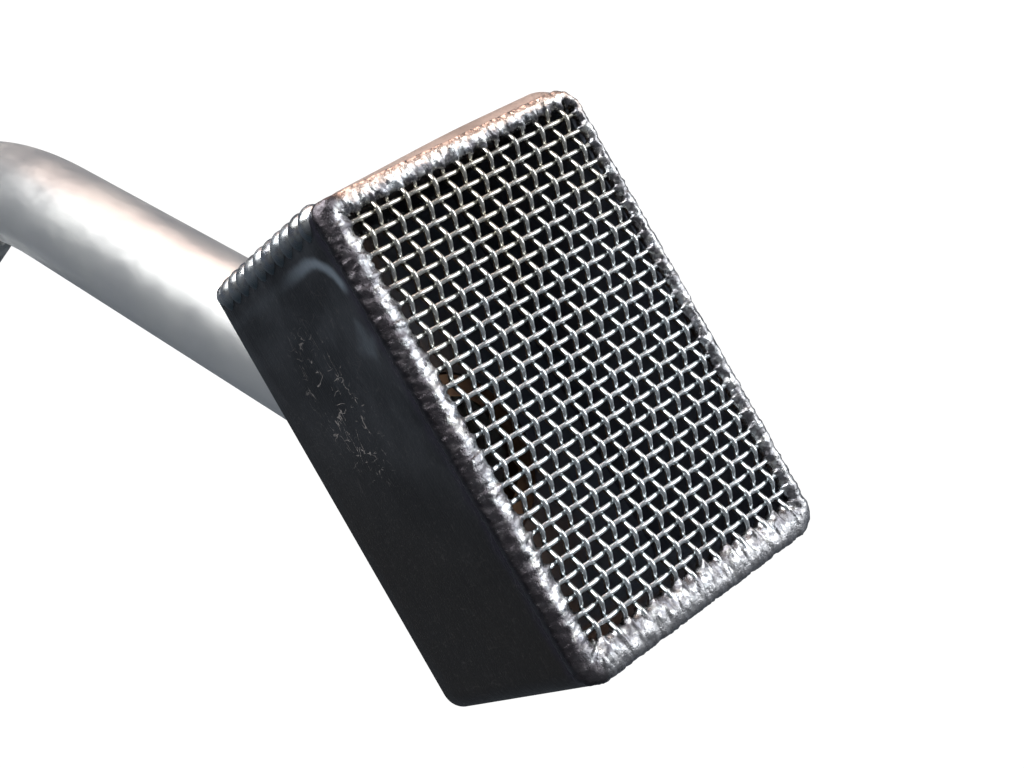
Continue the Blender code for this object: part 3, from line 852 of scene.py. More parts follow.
def speck_group():
    """Small separate spots, each with its own tone."""
    tree, given = named_group(
        "Specks",
        "ShaderNodeTree",
        (
            ("Vector", "Vector", None),
            ("Size", "Float", 1.0),
            ("Amount", "Float", 0.5),
            ("Seed", "Float", 0.0),
        ),
        (("Mask", "Float"), ("Tone", "Float")),
    )
    wobble = tree.out(
        "ShaderNodeTexNoise", {"Vector": given["Vector"], "Scale": 1.3, "Detail": 1.0}, socket="Color"
    )
    vector = tree.vector("ADD", given["Vector"], tree.scaled(wobble, 0.5))
    vector = tree.vector("ADD", vector, tree.joined(given["Seed"], given["Seed"], 0.0))
    cells = tree.node("ShaderNodeTexVoronoi", {"Vector": vector, "Scale": 1.0 / given["Size"]})
    tone = tree.parts(cells.outputs["Color"])
    radius = tone[0] * given["Amount"]
    mask = radius - cells.outputs["Distance"]
    return close_group(tree, {"Mask": tree.step(mask, -0.08, 0.12), "Tone": tone[1]})


def heat_group():
    """Temper colours of heated steel, from bare metal to straw, brown, purple and blue."""
    tree, given = named_group(
        "Temper Colours", "ShaderNodeTree", (("Heat", "Float", 0.5),), (("Color", "Color"),)
    )
    ramp = tree.node("ShaderNodeValToRGB", {0: given["Heat"]})
    stops = (
        (0.0, (0.50, 0.50, 0.49)),
        (0.25, (0.45, 0.36, 0.20)),
        (0.45, (0.26, 0.13, 0.07)),
        (0.62, (0.13, 0.06, 0.14)),
        (0.8, (0.07, 0.10, 0.22)),
        (1.0, (0.22, 0.25, 0.28)),
    )
    while len(ramp.color_ramp.elements) < len(stops):
        ramp.color_ramp.elements.new(0.5)
    for element, (position, shade) in zip(ramp.color_ramp.elements, stops):
        element.position = position
        element.color = (*shade, 1.0)
    return close_group(tree, {"Color": ramp.outputs[0]})


class Finish(Tree):
    """A material under construction, with its surface coordinates in millimetres."""

    def __init__(self, slot):
        self.material = bpy.data.materials.new("finish_" + slot)
        self.material.use_nodes = True
        super().__init__(self.material.node_tree)
        self.tree.nodes.clear()
        self.place = self.scaled(self.node("ShaderNodeTexCoord").outputs["Object"], 1.0 / MM)
        self.surface = self.node("ShaderNodeBsdfPrincipled")
        output = self.node("ShaderNodeOutputMaterial")
        self.tree.links.new(self.surface.outputs[0], output.inputs[0])

    def group(self, name, **values):
        """A shared group's outputs by name; it reads the surface coordinates where it takes a vector."""
        made = self.node("ShaderNodeGroup", None, node_tree=bpy.data.node_groups[name])
        if "Vector" in made.inputs:
            self.feed(made, "Vector", self.place)
        for label, value in values.items():
            self.feed(made, label.replace("_", " ").title(), value)
        return {socket.name: Value(self, socket) for socket in made.outputs}

    def bump(self, height, depth):
        made = self.node("ShaderNodeBump", {"Strength": 1.0, "Distance": depth * MM, "Height": height})
        self.feed(self.surface, "Normal", made.outputs[0])

    def set(self, **values):
        for label, value in values.items():
            self.feed(self.surface, label.replace("_", " ").title(), value)
        return self.material


def sheet_finish(colours):
    """Dark plated sheet: brushed along the strip, bloomed beside the seam, browner away from it, with a
    painted rosy reflection on the seam end's wall.
    """
    work = Finish("plated_sheet")
    skin = work.group("Metal Skin", patch_size=9.0, grain_stretch=(0.12, 1.6, 1.6), grain_scale=1.6, seed=1.3)
    x, y, z = work.parts(work.place)
    from_seam = x - SEAM_X
    below = CREST_Z - z
    shade = work.blend(skin["Patches"] * 0.75, colours.sheet_dark, colours.sheet_light)
    brown = work.step(from_seam + below * 0.6, 20.0, 56.0) * 0.92
    shade = work.blend(brown, shade, colours.sheet_brown)
    grain = skin["Grain"] * 0.35
    shade = work.blend(grain * skin["Pores"], shade, colours.sheet_light)
    front = work.step(y, FRONT_Y + 1.0, FRONT_Y + 0.2)
    stray = (work.noise(work.place, 0.35, 2.0, 0.5, 4.0) - 0.5) * 5.0
    across = from_seam - 9.5
    along = below - 7.6
    rounded = work.math("MINIMUM", along, 0.0)
    away = work.math("SQRT", across * across + rounded * rounded)
    ring = work.math("ABSOLUTE", away + stray * 0.25 - 4.9)
    bloom = work.step(ring, 0.1, 1.15, 1.0, 0.0) * front
    bloom = bloom * work.step(across, -1.2, 0.6, 1.0, 0.0)
    bloom = bloom * work.step(along, -3.5, 9.0, 1.0, 0.06)
    smudge = work.math("ABSOLUTE", across - 5.6) + work.math("ABSOLUTE", along + 3.3)
    inner = work.step(smudge + stray, 0.6, 3.2, 0.25, 0.0)
    bloom = work.math("MAXIMUM", bloom, inner * front)
    shade = work.blend(bloom, shade, colours.sheet_bloom)
    haze = work.step(below + stray * 0.5, 1.5, 3.6, 0.7, 0.0)
    shade = work.blend(haze, shade, colours.sheet_haze)
    spot_x = (from_seam - 19.5) / 8.0
    spot_z = (below - 17.5) / 5.0
    spot = spot_x * spot_x + spot_z * spot_z
    spot = work.step(spot, 0.0, 2.4, 0.9, 0.05)
    lines = work.group("Hairlines", spacing=1.3, width=0.015, amount=0.6, seed=2.0)["Mask"]
    lines = lines * spot
    shade = work.blend(lines * 0.9, shade, (0.62, 0.56, 0.52))
    specks = work.group("Specks", size=1.1, amount=0.26, seed=3.0)["Mask"]
    shade = work.blend(specks * 0.15, shade, (0.12, 0.12, 0.12))
    # Painted reflection: the seam end's wall gets a bright rosy colour for the warm light it would mirror,
    # strongest near the crest.
    end = work.step(from_seam, 0.9, 0.1) * work.step(y, FRONT_Y + 1.6, FRONT_Y + 5.0)
    end = end * work.step(below, 7.0, 22.0, 0.95, 0.45)
    rosy = work.blend(skin["Patches"] * 0.6, colours.rosy_reflection_paint, colours.sheet_brown)
    shade = work.blend(end, shade, rosy)
    within_x = work.step(from_seam, 1.1, 1.4) * work.step(x, PLAIN_X - 1.4, PLAIN_X - 1.1, 1.0, 0.0)
    within_y = work.step(y, FRONT_Y + 1.1, FRONT_Y + 1.4) * work.step(y, REAR_Y - 1.4, REAR_Y - 1.1, 1.0, 0.0)
    inside = within_x * within_y * work.step(z, PLATE_Z + 0.4, PLATE_Z + 1.2)
    soot = work.blend(
        work.step(y + skin["Patches"] * 12.0, -4.0, 16.0), colours.inside_brown, colours.inside_blue
    )
    shade = work.blend(inside, shade, soot)
    rough = skin["Grain"] * 0.16 + skin["Patches"] * 0.1 + 0.3
    metal = 0.85 - inside * 0.65
    edge = 2.1 + (work.noise(work.place, 0.22, 1.5, 0.5, 6.0) - 0.5) * 5.0
    toe = work.step(below - edge, -0.22, 0.0, 1.0, 0.0)
    reach = work.step(from_seam, 26.0, 34.0) * front
    toe = toe * reach
    height = skin["Grain"] * 0.7 + skin["Patches"] * 1.2
    height = height - lines * 0.6 + toe * 9.0
    height = height + work.noise(work.place, 3.2, 3.0, 0.6, 12.0) * 1.6
    work.bump(height, 0.02)
    return work.set(base_color=shade, roughness=rough, metallic=metal)


def tube_finish(colours):
    """Bright plated tube: soft patches, faint draw lines and fine orange peel."""
    work = Finish("plated_tube")
    skin = work.group(
        "Metal Skin", patch_size=14.0, grain_stretch=(0.35, 1.2, 0.3), grain_scale=0.7, seed=5.1
    )
    shade = work.blend(skin["Patches"] * 0.25, colours.plating, colours.plating_dull)
    below = PLATE_Z - work.parts(work.place)[2]
    near_head = work.step(below, 1.0, 9.0, 1.0, 0.0)
    temper = work.group("Temper Colours", heat=near_head * 0.85)["Color"]
    shade = work.blend(near_head * 0.3, shade, temper)
    near_flange = work.step(
        work.parts(work.place)[2], FLANGE_Z + 3.0, FLANGE_Z + 14.0, 0.5, 0.0
    )
    shade = work.blend(near_flange, shade, work.group("Temper Colours", heat=near_flange)["Color"])
    mouth = work.step(work.parts(work.place)[2], PLATE_Z - 0.8, PLATE_Z + 0.2)
    shade = work.blend(mouth, shade, colours.inside_brown)
    rough = skin["Patches"] * 0.08 + skin["Grain"] * 0.06 + 0.27
    height = skin["Grain"] + skin["Pores"] * 0.4
    work.bump(height, 0.006)
    return work.set(base_color=shade, roughness=rough, metallic=0.95)


def wire_finish(colours):
    """Drawn wire: bright, with fine draw lines, browned towards the seam end."""
    work = Finish("cloth_wire")
    skin = work.group("Metal Skin", patch_size=5.0, grain_stretch=(1.0, 1.0, 1.0), grain_scale=3.0, seed=7.7)
    x = work.parts(work.place)[0]
    tan = work.step(x + skin["Patches"] * 14.0, SEAM_X + 6.0, SEAM_X + 36.0, 0.65, 0.0)
    shade = work.blend(tan, colours.wire, colours.wire_tan)
    shade = work.blend(skin["Patches"] * 0.25, shade, (0.2, 0.2, 0.2))
    specks = work.group("Specks", size=0.7, amount=0.4, seed=8.0)["Mask"]
    shade = work.blend(specks * 0.25, shade, (0.12, 0.1, 0.08))
    rough = skin["Grain"] * 0.12 + 0.17
    work.bump(skin["Grain"] + skin["Pores"], 0.005)
    return work.set(base_color=shade, roughness=rough, metallic=1.0)


def weld_finish(colours):
    """Weld metal: bright crests, painted shade with oxide in the valleys, temper colours in patches, small
    spatter, and painted shade and reflection at the seam's foot and the rims' outer halves.
    """
    work = Finish("weld_metal")
    skin = work.group("Metal Skin", patch_size=3.2, grain_stretch=(1.0, 1.0, 1.0), grain_scale=1.5, seed=11.0)
    ripple = work.out("ShaderNodeAttribute", socket="Fac", attribute_type="GEOMETRY", attribute_name="ripple")
    fine = work.noise(work.place, 1.1, 3.0, 0.6, 2.0)
    temper = work.group("Temper Colours", heat=work.step(fine, 0.3, 0.75))["Color"]
    shade = work.blend(skin["Patches"] * 0.3, colours.weld, temper)
    # Painted shade with oxide: the ripple valleys are darkened as shade would fall in them.
    valley = work.step(ripple, 0.05, 0.5, 0.6, 0.0)
    shade = work.blend(valley, shade, colours.weld_dark)
    x, y, z = work.parts(work.place)
    from_seam = x - SEAM_X
    edge = work.out(
        "ShaderNodeAttribute", socket="Fac", attribute_type="GEOMETRY", attribute_name="outer_edge"
    )
    rim = work.step(edge, -1.6, -1.2)
    edge = edge + (fine - 0.5) * 1.4
    specks = work.group("Specks", size=0.7, amount=0.7, seed=6.0)
    dark = specks["Mask"] * work.step(specks["Tone"], 0.3, 0.55, 0.0, 0.8)
    gaps = work.step(work.noise(work.place, 0.62, 2.0, 0.6, 8.0), 0.42, 0.56, 0.15, 0.85)
    shade = work.blend(work.math("MAXIMUM", dark, gaps) * rim, shade, colours.weld_dark)
    # Painted shade: the corner seam's bead is darkened bluish on its side away from the crest, towards the
    # front face, as shade would fall there.
    low = work.step(from_seam, 0.9, 2.7) * (1.0 - rim)
    low = low * work.step(z, PLATE_Z - 3.0, PLATE_Z - 1.0)
    shade = work.blend(low * 0.85, shade, colours.weld_seam_shade)
    # Outer half of each rim: grey oxide, painted shade along the front rim, and a painted rosy reflection at
    # the seam end.
    outer_oxide_and_shade = work.blend(work.step(from_seam, 1.6, 4.6), colours.rosy_reflection_paint, colours.weld_grey)
    front = work.step(y, FRONT_Y + 4.2, FRONT_Y + 2.6)
    outer_oxide_and_shade = work.blend(front, outer_oxide_and_shade, colours.weld_front_shade)
    shade = work.blend(work.step(edge, -0.28, 0.22, 0.0, 0.93), shade, outer_oxide_and_shade)
    rough = skin["Grain"] * 0.25 + valley * 0.25 + 0.16
    height = skin["Grain"] + skin["Pores"] * 0.8
    work.bump(height * (rim + 0.15), 0.035)
    return work.set(base_color=shade, roughness=rough, metallic=1.0)


def flange_finish(colours):
    """Sawn and plated plate: dull patches, a fine grain and a few knocks."""
    work = Finish("flange_steel")
    skin = work.group("Metal Skin", patch_size=6.0, grain_stretch=(0.3, 1.8, 1.0), grain_scale=1.4, seed=15.0)
    shade = work.blend(skin["Patches"], colours.flange, colours.flange_dull)
    lines = work.group("Hairlines", spacing=5.0, width=0.014, amount=0.6, seed=5.0)["Mask"]
    shade = work.blend(lines * 0.6, shade, colours.plating)
    specks = work.group("Specks", size=1.6, amount=0.4, seed=4.0)["Mask"]
    shade = work.blend(specks * 0.45, shade, (0.13, 0.12, 0.11))
    rough = skin["Grain"] * 0.2 + 0.33
    height = skin["Grain"] + skin["Pores"] - lines * 0.5
    work.bump(height, 0.04)
    return work.set(base_color=shade, roughness=rough, metallic=0.95)


def screw_finish(colours):
    """Zinc plated fasteners: bluish, duller in patches, with fine turning marks."""
    work = Finish("screw_steel")
    skin = work.group("Metal Skin", patch_size=3.0, grain_stretch=(0.6, 0.6, 5.0), grain_scale=1.5, seed=21.0)
    shade = work.blend(skin["Patches"], colours.screw, colours.screw_dull)
    specks = work.group("Specks", size=0.8, amount=0.35, seed=9.0)["Mask"]
    shade = work.blend(specks * 0.4, shade, (0.16, 0.15, 0.14))
    lines = work.group("Hairlines", spacing=2.5, width=0.015, amount=0.5, seed=3.0)["Mask"]
    rough = skin["Grain"] * 0.18 + 0.24 + lines * 0.2
    work.bump(skin["Grain"] + skin["Pores"] * 0.5, 0.025)
    return work.set(base_color=shade, roughness=rough, metallic=1.0)


class BURNER_OT_finishes(bpy.types.Operator):
    """Make every finish and give each CAD piece the one for its slot"""

    bl_idname = "burner.finishes"
    bl_label = "Finishes"

    def execute(self, context):
        for make in (skin_group, scratch_group, speck_group, heat_group):
            make()
        colours = context.scene.burner_colours
        for make in (sheet_finish, tube_finish, wire_finish, weld_finish, flange_finish, screw_finish):
            make(colours)
        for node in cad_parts.values():
            for holder in node.material_slots:
                holder.material = finish(holder.material.name.split(".")[0])
        return {"FINISHED"}


# ---------------------------------------------------------------- pieces


def eased(value, low, high):
    """0 below low, 1 above high, and a soft step between."""
    share = min(max((value - low) / (high - low), 0.0), 1.0)
    return share * share * (3.0 - 2.0 * share)


class BURNER_OT_head(bpy.types.Operator):
    """Build the head's wall, a strip bent round three corners"""

    bl_idname = "burner.head"
    bl_label = "Head Wall"

    def swell(self, bulge, x, y, z):
        """How far the seam end's wall stands out: not at all at the seam, crest and long sides."""
        along = eased(y, WALL_LOW.y + 1.0 * MM, WALL_LOW.y + 26.0 * MM)
        along = 0.5 * eased(y, WALL_LOW.y + 1.5 * MM, WALL_LOW.y + 6.0 * MM) + 0.5 * along
        across = 1.0 - eased(x, WALL_LOW.x + 2.0 * MM, WALL_LOW.x + 14.0 * MM)
        depth = CREST - z
        fall = math.sin(math.pi / 2.0 * min(max((depth - 1.2 * MM) / (3.5 * MM), 0.0), 1.0))
        rise = 1.0 - 0.8 * eased(depth, 12.0 * MM, 32.0 * MM)
        return bulge * along * across * fall * rise

    def execute(self, context):
        sizes = context.scene.burner_head
        radii = (sizes.seam_corner, sizes.corner, sizes.corner, sizes.corner)
        low, high = WALL_LOW, WALL_HIGH
        bottom, top, edge, sheet = low.z, high.z + sizes.tuck, sizes.edge, sizes.sheet
        shares = [1.0 - (1.0 - i / 24.0) ** 2 for i in range(25)]
        levels = [bottom + edge + (top - bottom - 2.0 * edge) * share for share in shares]
        section = [(edge, bottom), (edge * 0.3, bottom + edge * 0.3)]
        section += [(0.0, z) for z in levels]
        section += [(edge * 0.3, top - edge * 0.3), (edge, top), (sheet - edge, top)]
        section += [(sheet, z) for z in reversed(levels)]
        section.append((sheet - edge, bottom))
        rings = []
        for inset, z in section:
            outline = rounded_outline(low, high, radii, inset, z, 14)
            dense = []
            for (x, y, _), (next_x, next_y, _) in zip(outline, outline[1:] + outline[:1]):
                pieces = max(int(math.hypot(next_x - x, next_y - y) / (2.0 * MM)), 1)
                for i in range(pieces):
                    dense.append((x + (next_x - x) * i / pieces, y + (next_y - y) * i / pieces))
            rings.append([(x - self.swell(sizes.bulge, x, y, z), y, z) for x, y in dense])
        settle(
            "head_wall",
            shaded(lofted("head_wall", rings, closed_tube=True)),
            "plated_sheet",
            ["side_wall_strip"],
        )
        return {"FINISHED"}


class BURNER_OT_cloth(bpy.types.Operator):
    """Weave the wire cloth that faces the head"""

    bl_idname = "burner.cloth"
    bl_label = "Wire Cloth"

    def execute(self, context):
        sizes = context.scene.burner_cloth
        radius = sizes.wire / 2.0
        first = CLOTH_LOW + Vector((CLOTH_WIRE_RADIUS,) * 3)
        across = CLOTH_HIGH - CLOTH_LOW
        bury = Vector((sizes.bury, sizes.bury, 0.0))
        values = {
            "Low End": OPENING_LOW - bury,
            "High End": OPENING_HIGH + bury,
            "First Crossing": first,
            "Pitch": sizes.pitch,
            "Short Wires": round(across.x / sizes.pitch - 0.25) + 1,
            "Long Wires": round(across.y / sizes.pitch - 0.25) + 1,
            "Wire Radius": radius,
            "Long Wire Rise": sizes.long_rise,
            "Short Wire Rise": sizes.short_rise,
            "Wander": sizes.wander,
            "Step": sizes.step,
            "Material": finish("cloth_wire"),
        }
        mesh = grow(
            "woven_cloth", bpy.data.meshes.new("cloth_start"), tree_named("Woven Cloth", cloth_tree), values
        )
        settle("woven_cloth", mesh, "cloth_wire", ["wire_cloth"])
        return {"FINISHED"}


def rim_stations(head, cloth, welds):
    """The bead round the rim: its outside follows the wall and its inside the opening."""
    inner_radius = 0.8 * MM
    radii = (head.seam_corner, head.corner, head.corner, head.corner)
    steps = 8
    outside = rounded_outline(WALL_LOW, WALL_HIGH, radii, 0.0, 0.0, steps)
    back = Vector((welds.rim_back, welds.rim_back, 0.0))
    inside = rounded_outline(OPENING_LOW - back, OPENING_HIGH + back, (inner_radius,) * 4, 0.0, 0.0, steps)
    first_x = CLOTH_LOW.x + CLOTH_WIRE_RADIUS
    first_y = CLOTH_LOW.y + CLOTH_WIRE_RADIUS
    stations = []
    for i, (outer, inner) in enumerate(zip(outside, inside)):
        outer, inner = Vector(outer), Vector(inner)
        middle, across = (outer + inner) / 2.0, inner - outer
        corner, turn = divmod(i, steps + 1)
        on_ends = (turn > steps / 2) if corner in (1, 3) else (turn < steps / 2)
        phase = (middle.y - first_y if on_ends else middle.x - first_x) / cloth.pitch
        width = across.length / 2.0 + 0.05 * MM
        height = welds.rim_half_height * (0.72 + 0.16 * min(width / (1.7 * MM), 1.5))
        place = (middle.x, middle.y, CREST - height)
        stations.append(station(place, width, height, (0, 0, 1), across.normalized(), phase))
    return stations


class BURNER_OT_rim(bpy.types.Operator):
    """Run the weld bead round the rim that holds the cloth"""

    bl_idname = "burner.rim"
    bl_label = "Rim Weld"

    def execute(self, context):
        scene = context.scene
        stations = rim_stations(scene.burner_head, scene.burner_cloth, scene.burner_welds)
        proud = 0.12 * MM
        low = Vector((WALL_LOW.x - proud, WALL_LOW.y - proud, 0.0))
        high = Vector((WALL_HIGH.x + proud, WALL_HIGH.y + proud, CREST + proud))
        bead(
            "rim_weld", stations, True,
            ["rim_weld_front", "rim_weld_rear", "rim_weld_seam_end", "rim_weld_plain_end"],
            **RIM_BEAD, ripple_pitch=RIM_PITCH,
            tongue=scene.burner_welds.tongue, low_corner=low, high_corner=high,
        )
        return {"FINISHED"}


class BURNER_OT_seams(bpy.types.Operator):
    """Run the beads along the corner seam and round the back plate"""

    bl_idname = "burner.seams"
    bl_label = "Seam Welds"

    def execute(self, context):
        welds, head = context.scene.burner_welds, context.scene.burner_head
        radius = welds.seam_radius
        inset = radius - 0.42 * MM
        x, y = WALL_LOW.x + inset, WALL_LOW.y + inset
        facing = Vector((-1.0, -0.55, 0.0)).normalized()
        bottom, top = WALL_LOW.z, CREST - radius * 0.8
        stations = []
        for i in range(31):
            share = i / 30.0
            stations.append(
                station((x, y, bottom + (top - bottom) * share), radius * tapered(share, 0.05), None, facing)
            )
        proud = 0.9 * MM
        low = Vector((WALL_LOW.x - proud, WALL_LOW.y - proud, WALL_LOW.z - 0.6 * MM))
        bead(
            "corner_seam", stations, False, ["corner_seam_weld"],
            **SEAM_BEAD, ripple_pitch=welds.seam_pitch, ripple_bend=0.8,
            low_corner=low,
        )
        back = welds.back_radius
        radii = (head.corner,) * 4
        outline = rounded_outline(WALL_LOW, WALL_HIGH, radii, 0.5 * MM + 1.1 * MM, WALL_LOW.z - 0.05 * MM, 8)
        stations = [station(p, back, back * 0.75, (0, 0, -1)) for p in outline]
        bead(
            "back_plate_bead", stations, True, ["back_plate_weld"],
            **BACK_BEAD, ripple_pitch=welds.back_pitch,
        )
        return {"FINISHED"}


TUBE_SIDES = 96
RUN_STEPS = 40


def tube_rings(sizes, radius):
    """Rings round the tube's centre line from its lower end to the plane of its mouth."""
    lean = sizes.lean
    rings = []
    places = [(Vector((0.0, 0.0, TUBE_LOW.z)), 0.0), (Vector((0.0, 0.0, sizes.inlet_run)), 0.0)]
    turns = max(int(sizes.bend * lean / sizes.step), 2)
    for i in range(1, turns + 1):
        angle = lean * i / turns
        x = sizes.bend - sizes.bend * math.cos(angle)
        places.append((Vector((x, 0.0, sizes.inlet_run + sizes.bend * math.sin(angle))), angle))
    end = places[-1][0]
    run = (TUBE_HIGH.z - end.z) / math.cos(lean)
    for i in range(1, RUN_STEPS + 1):
        places.append((end + Vector((math.sin(lean), 0.0, math.cos(lean))) * run * i / RUN_STEPS, lean))
    for index, (place, angle) in enumerate(places):
        along = Vector((math.sin(angle), 0.0, math.cos(angle)))
        side = Vector((math.cos(angle), 0.0, -math.sin(angle)))
        ring = []
        for k in range(TUBE_SIDES):
            turn = 2.0 * math.pi * k / TUBE_SIDES
            point = place + side * radius * math.cos(turn) + Vector((0.0, radius * math.sin(turn), 0.0))
            over = (point.z - TUBE_HIGH.z) / along.z
            if index == len(places) - 1 or over > 0.0:
                point -= along * over
            ring.append(point)
        rings.append(ring)
    return rings


def all_round(count):
    """Level directions, evenly spread over one full turn."""
    turns = (2.0 * math.pi * i / count for i in range(count))
    return [Vector((math.cos(turn), math.sin(turn), 0.0)) for turn in turns]


class BURNER_OT_tube(bpy.types.Operator):
    """Bend the feed tube and weld it to the head"""

    bl_idname = "burner.tube"
    bl_label = "Feed Tube"

    def execute(self, context):
        sizes, welds = context.scene.burner_tube, context.scene.burner_welds
        outer = tube_rings(sizes, sizes.outside / 2.0)
        inner = tube_rings(sizes, sizes.outside / 2.0 - sizes.wall)
        mesh = lofted("bent_tube", outer + inner[::-1], closed_tube=True)
        settle("bent_tube", shaded(mesh, 40.0), "plated_tube", ["feed_tube"])
        radius = sizes.outside / 2.0
        level = PLATE_LOW.z - 1.0 * MM
        start = sizes.inlet_run + sizes.bend * math.sin(sizes.lean)
        centre_x = sizes.bend * (1.0 - math.cos(sizes.lean)) + (level - start) * math.tan(sizes.lean)
        stations = []
        for out in all_round(72):
            reach = Vector(
                ((radius / math.cos(sizes.lean) + 0.9 * MM) * out.x, (radius + 0.9 * MM) * out.y, 0.0)
            )
            place = Vector((centre_x, 0.0, level)) + reach
            stations.append(station(place, welds.tube_radius, None, (out * 0.7 + Vector((0, 0, -0.7)))))
        bead(
            "tube_bead", stations, True, ["tube_weld"],
            **FILLET_BEAD, ripple_pitch=welds.fillet_pitch,
            high_corner=Vector((1.0, 1.0, PLATE_LOW.z + 0.7 * MM)),
        )
        return {"FINISHED"}


class BURNER_OT_flange(bpy.types.Operator):
    """Round the flange and gusset and weld them to the tube"""

    bl_idname = "burner.flange"
    bl_label = "Flange And Gusset"

    def execute(self, context):
        scene = context.scene
        sizes, tube, welds = scene.burner_flange, scene.burner_tube, scene.burner_welds
        settle(
            "flange_plate",
            refined_copy("mounting_flange", "flange_plate", sizes.edge),
            "flange_steel",
            ["mounting_flange"],
        )
        settle(
            "gusset_plate",
            refined_copy("gusset", "gusset_plate", sizes.gusset_edge),
            "flange_steel",
            ["gusset"],
        )
        radius = tube.outside / 2.0
        top = FLANGE_HIGH.z
        stations = []
        for out in all_round(64):
            place = out * (radius + 1.3 * MM) + Vector((0.0, 0.0, top + 1.2 * MM))
            stations.append(station(place, welds.flange_radius, None, out * 0.7 + Vector((0, 0, 0.7))))
        bead(
            "flange_bead", stations, True, ["flange_weld"],
            **FILLET_BEAD, ripple_pitch=welds.fillet_pitch,
            low_corner=Vector((-1.0, -1.0, top - 0.6 * MM)),
        )
        size = welds.gusset_radius
        inside = tube.bend - radius - 0.35 * MM
        for side, node in ((-1.0, "front"), (1.0, "rear")):
            stations = []
            for i in range(25):
                share = i / 24.0
                angle = math.radians(1.5 + 14.0 * share)
                place = (
                    tube.bend - inside * math.cos(angle),
                    side * (GUSSET_HIGH.y + 0.55 * MM),
                    tube.inlet_run + inside * math.sin(angle),
                )
                stations.append(station(place, size * 1.15 * tapered(share), None, (0.6, 0.8 * side, 0.0)))
            bead(
                "gusset_bead_" + node, stations, False, ["gusset_weld_" + node],
                **GUSSET_BEAD, ripple_pitch=GUSSET_PITCH,
            )
        return {"FINISHED"}


def screw_body(sizes, under_head, bottom):
    """A hexagon screw with a chamfered head and a plain core for the thread to wind on."""
    flat, core = sizes.head_width / 2.0, sizes.shank / 2.0 - 0.42 * MM
    crown = flat * 0.97
    steps = 72
    top = under_head + sizes.head_height

    def ring(radius_at, z_at):
        points = []
        for i in range(steps):
            turn = 2.0 * math.pi * i / steps
            across = flat / math.cos((turn + math.pi / 6.0) % (math.pi / 3.0) - math.pi / 6.0)
            radius, z = radius_at(across), z_at(across)
            points.append((radius * math.cos(turn), radius * math.sin(turn), z))
        return points

    chamfer = math.tan(math.radians(30.0))
    rings = [
        ring(lambda a: core * 0.72, lambda a: bottom),
        ring(lambda a: core, lambda a: bottom + 0.8 * MM),
        ring(lambda a: core, lambda a: under_head - 1.0 * MM),
        ring(lambda a: sizes.shank / 2.0, lambda a: under_head - 0.6 * MM),
        ring(lambda a: sizes.shank / 2.0, lambda a: under_head),
        ring(lambda a: crown, lambda a: under_head),
        ring(lambda a: a, lambda a: under_head + (a - crown) * chamfer),
        ring(lambda a: a, lambda a: top - (a - crown) * chamfer),
        ring(lambda a: crown, lambda a: top),
        ring(lambda a: crown * 0.93, lambda a: top + 0.06 * MM),
    ]
    return shaded(lofted("screw_body", rings, caps=True), 20.0)


class BURNER_OT_fasteners(bpy.types.Operator):
    """Make the flange's screws, plain washers and split spring washers"""

    bl_idname = "burner.fasteners"
    bl_label = "Screws And Washers"

    def execute(self, context):
        sizes = context.scene.burner_flange
        first, second = (Vector((place.x, place.y, 0.0)) for place in SCREW_PLACES)
        under_head = SCREW_HIGH.z - sizes.head_height
        turns = (FLANGE_LOW.z - SCREW_LOW.z) / sizes.thread_pitch
        values = {
            "Count": 2,
            "First Place": first,
            "Spacing": second - first,
            "Thread Radius": sizes.shank / 2.0 - 0.40 * MM,
            "Thread Depth": 0.40 * MM,
            "Thread Bottom": SCREW_LOW.z + 0.7 * MM,
            "Thread Pitch": sizes.thread_pitch,
            "Thread Turns": turns,
            "Material": finish("screw_steel"),
        }
        body = screw_body(sizes, under_head, SCREW_LOW.z)
        mesh = grow("flange_screws", body, tree_named("Screw Row", screw_tree), values)
        settle("flange_screws", mesh, "screw_steel", ["flange_screw_1", "flange_screw_2"])
        for kind in ("plain_washer", "spring_washer"):
            for number, side in (("1", "left"), ("2", "right")):
                node, name = f"{kind}_{number}", f"{kind}_{side}"
                settle(name, refined_copy(node, name, sizes.washer_edge, 50.0), "screw_steel", [node])
        return {"FINISHED"}


# ---------------------------------------------------------------- stage


FLOOR_HALF = 6.0
FLOOR_GAP = 0.2 * MM
SENSOR_WIDTH = 36.0
CLIP = (0.005, 50.0)


def stage_material(settings):
    """A pale matt floor that looks darker where gloss mirrors it."""
    material = bpy.data.materials.new("stage_floor")
    material.use_nodes = True
    tree = Tree(material.node_tree)
    tree.tree.nodes.clear()
    path = tree.node("ShaderNodeLightPath")
    place = tree.scaled(tree.out("ShaderNodeTexCoord", socket="Object"), 30.0)
    pale = tree.blend(tree.noise(place, 1.0, 3.0), settings.floor, [c * 0.985 for c in settings.floor])
    matt = tree.out("ShaderNodeBsdfPrincipled", {"Base Color": pale, "Roughness": 0.9})
    dim = tree.out("ShaderNodeEmission", {"Color": (0.75, 0.85, 1.0, 1.0), "Strength": settings.floor_gloss})
    glow = tree.out("ShaderNodeEmission", {"Color": (1.0, 1.0, 1.0, 1.0), "Strength": 1.04})
    seen = tree.out("ShaderNodeMixShader", {0: 0.93, 1: matt, 2: glow})
    rest = tree.out("ShaderNodeMixShader", {0: path.outputs["Is Glossy Ray"], 1: matt, 2: dim})
    both = tree.out("ShaderNodeMixShader", {0: path.outputs["Is Camera Ray"], 1: rest, 2: seen})
    tree.node("ShaderNodeOutputMaterial", {0: both})
    return material


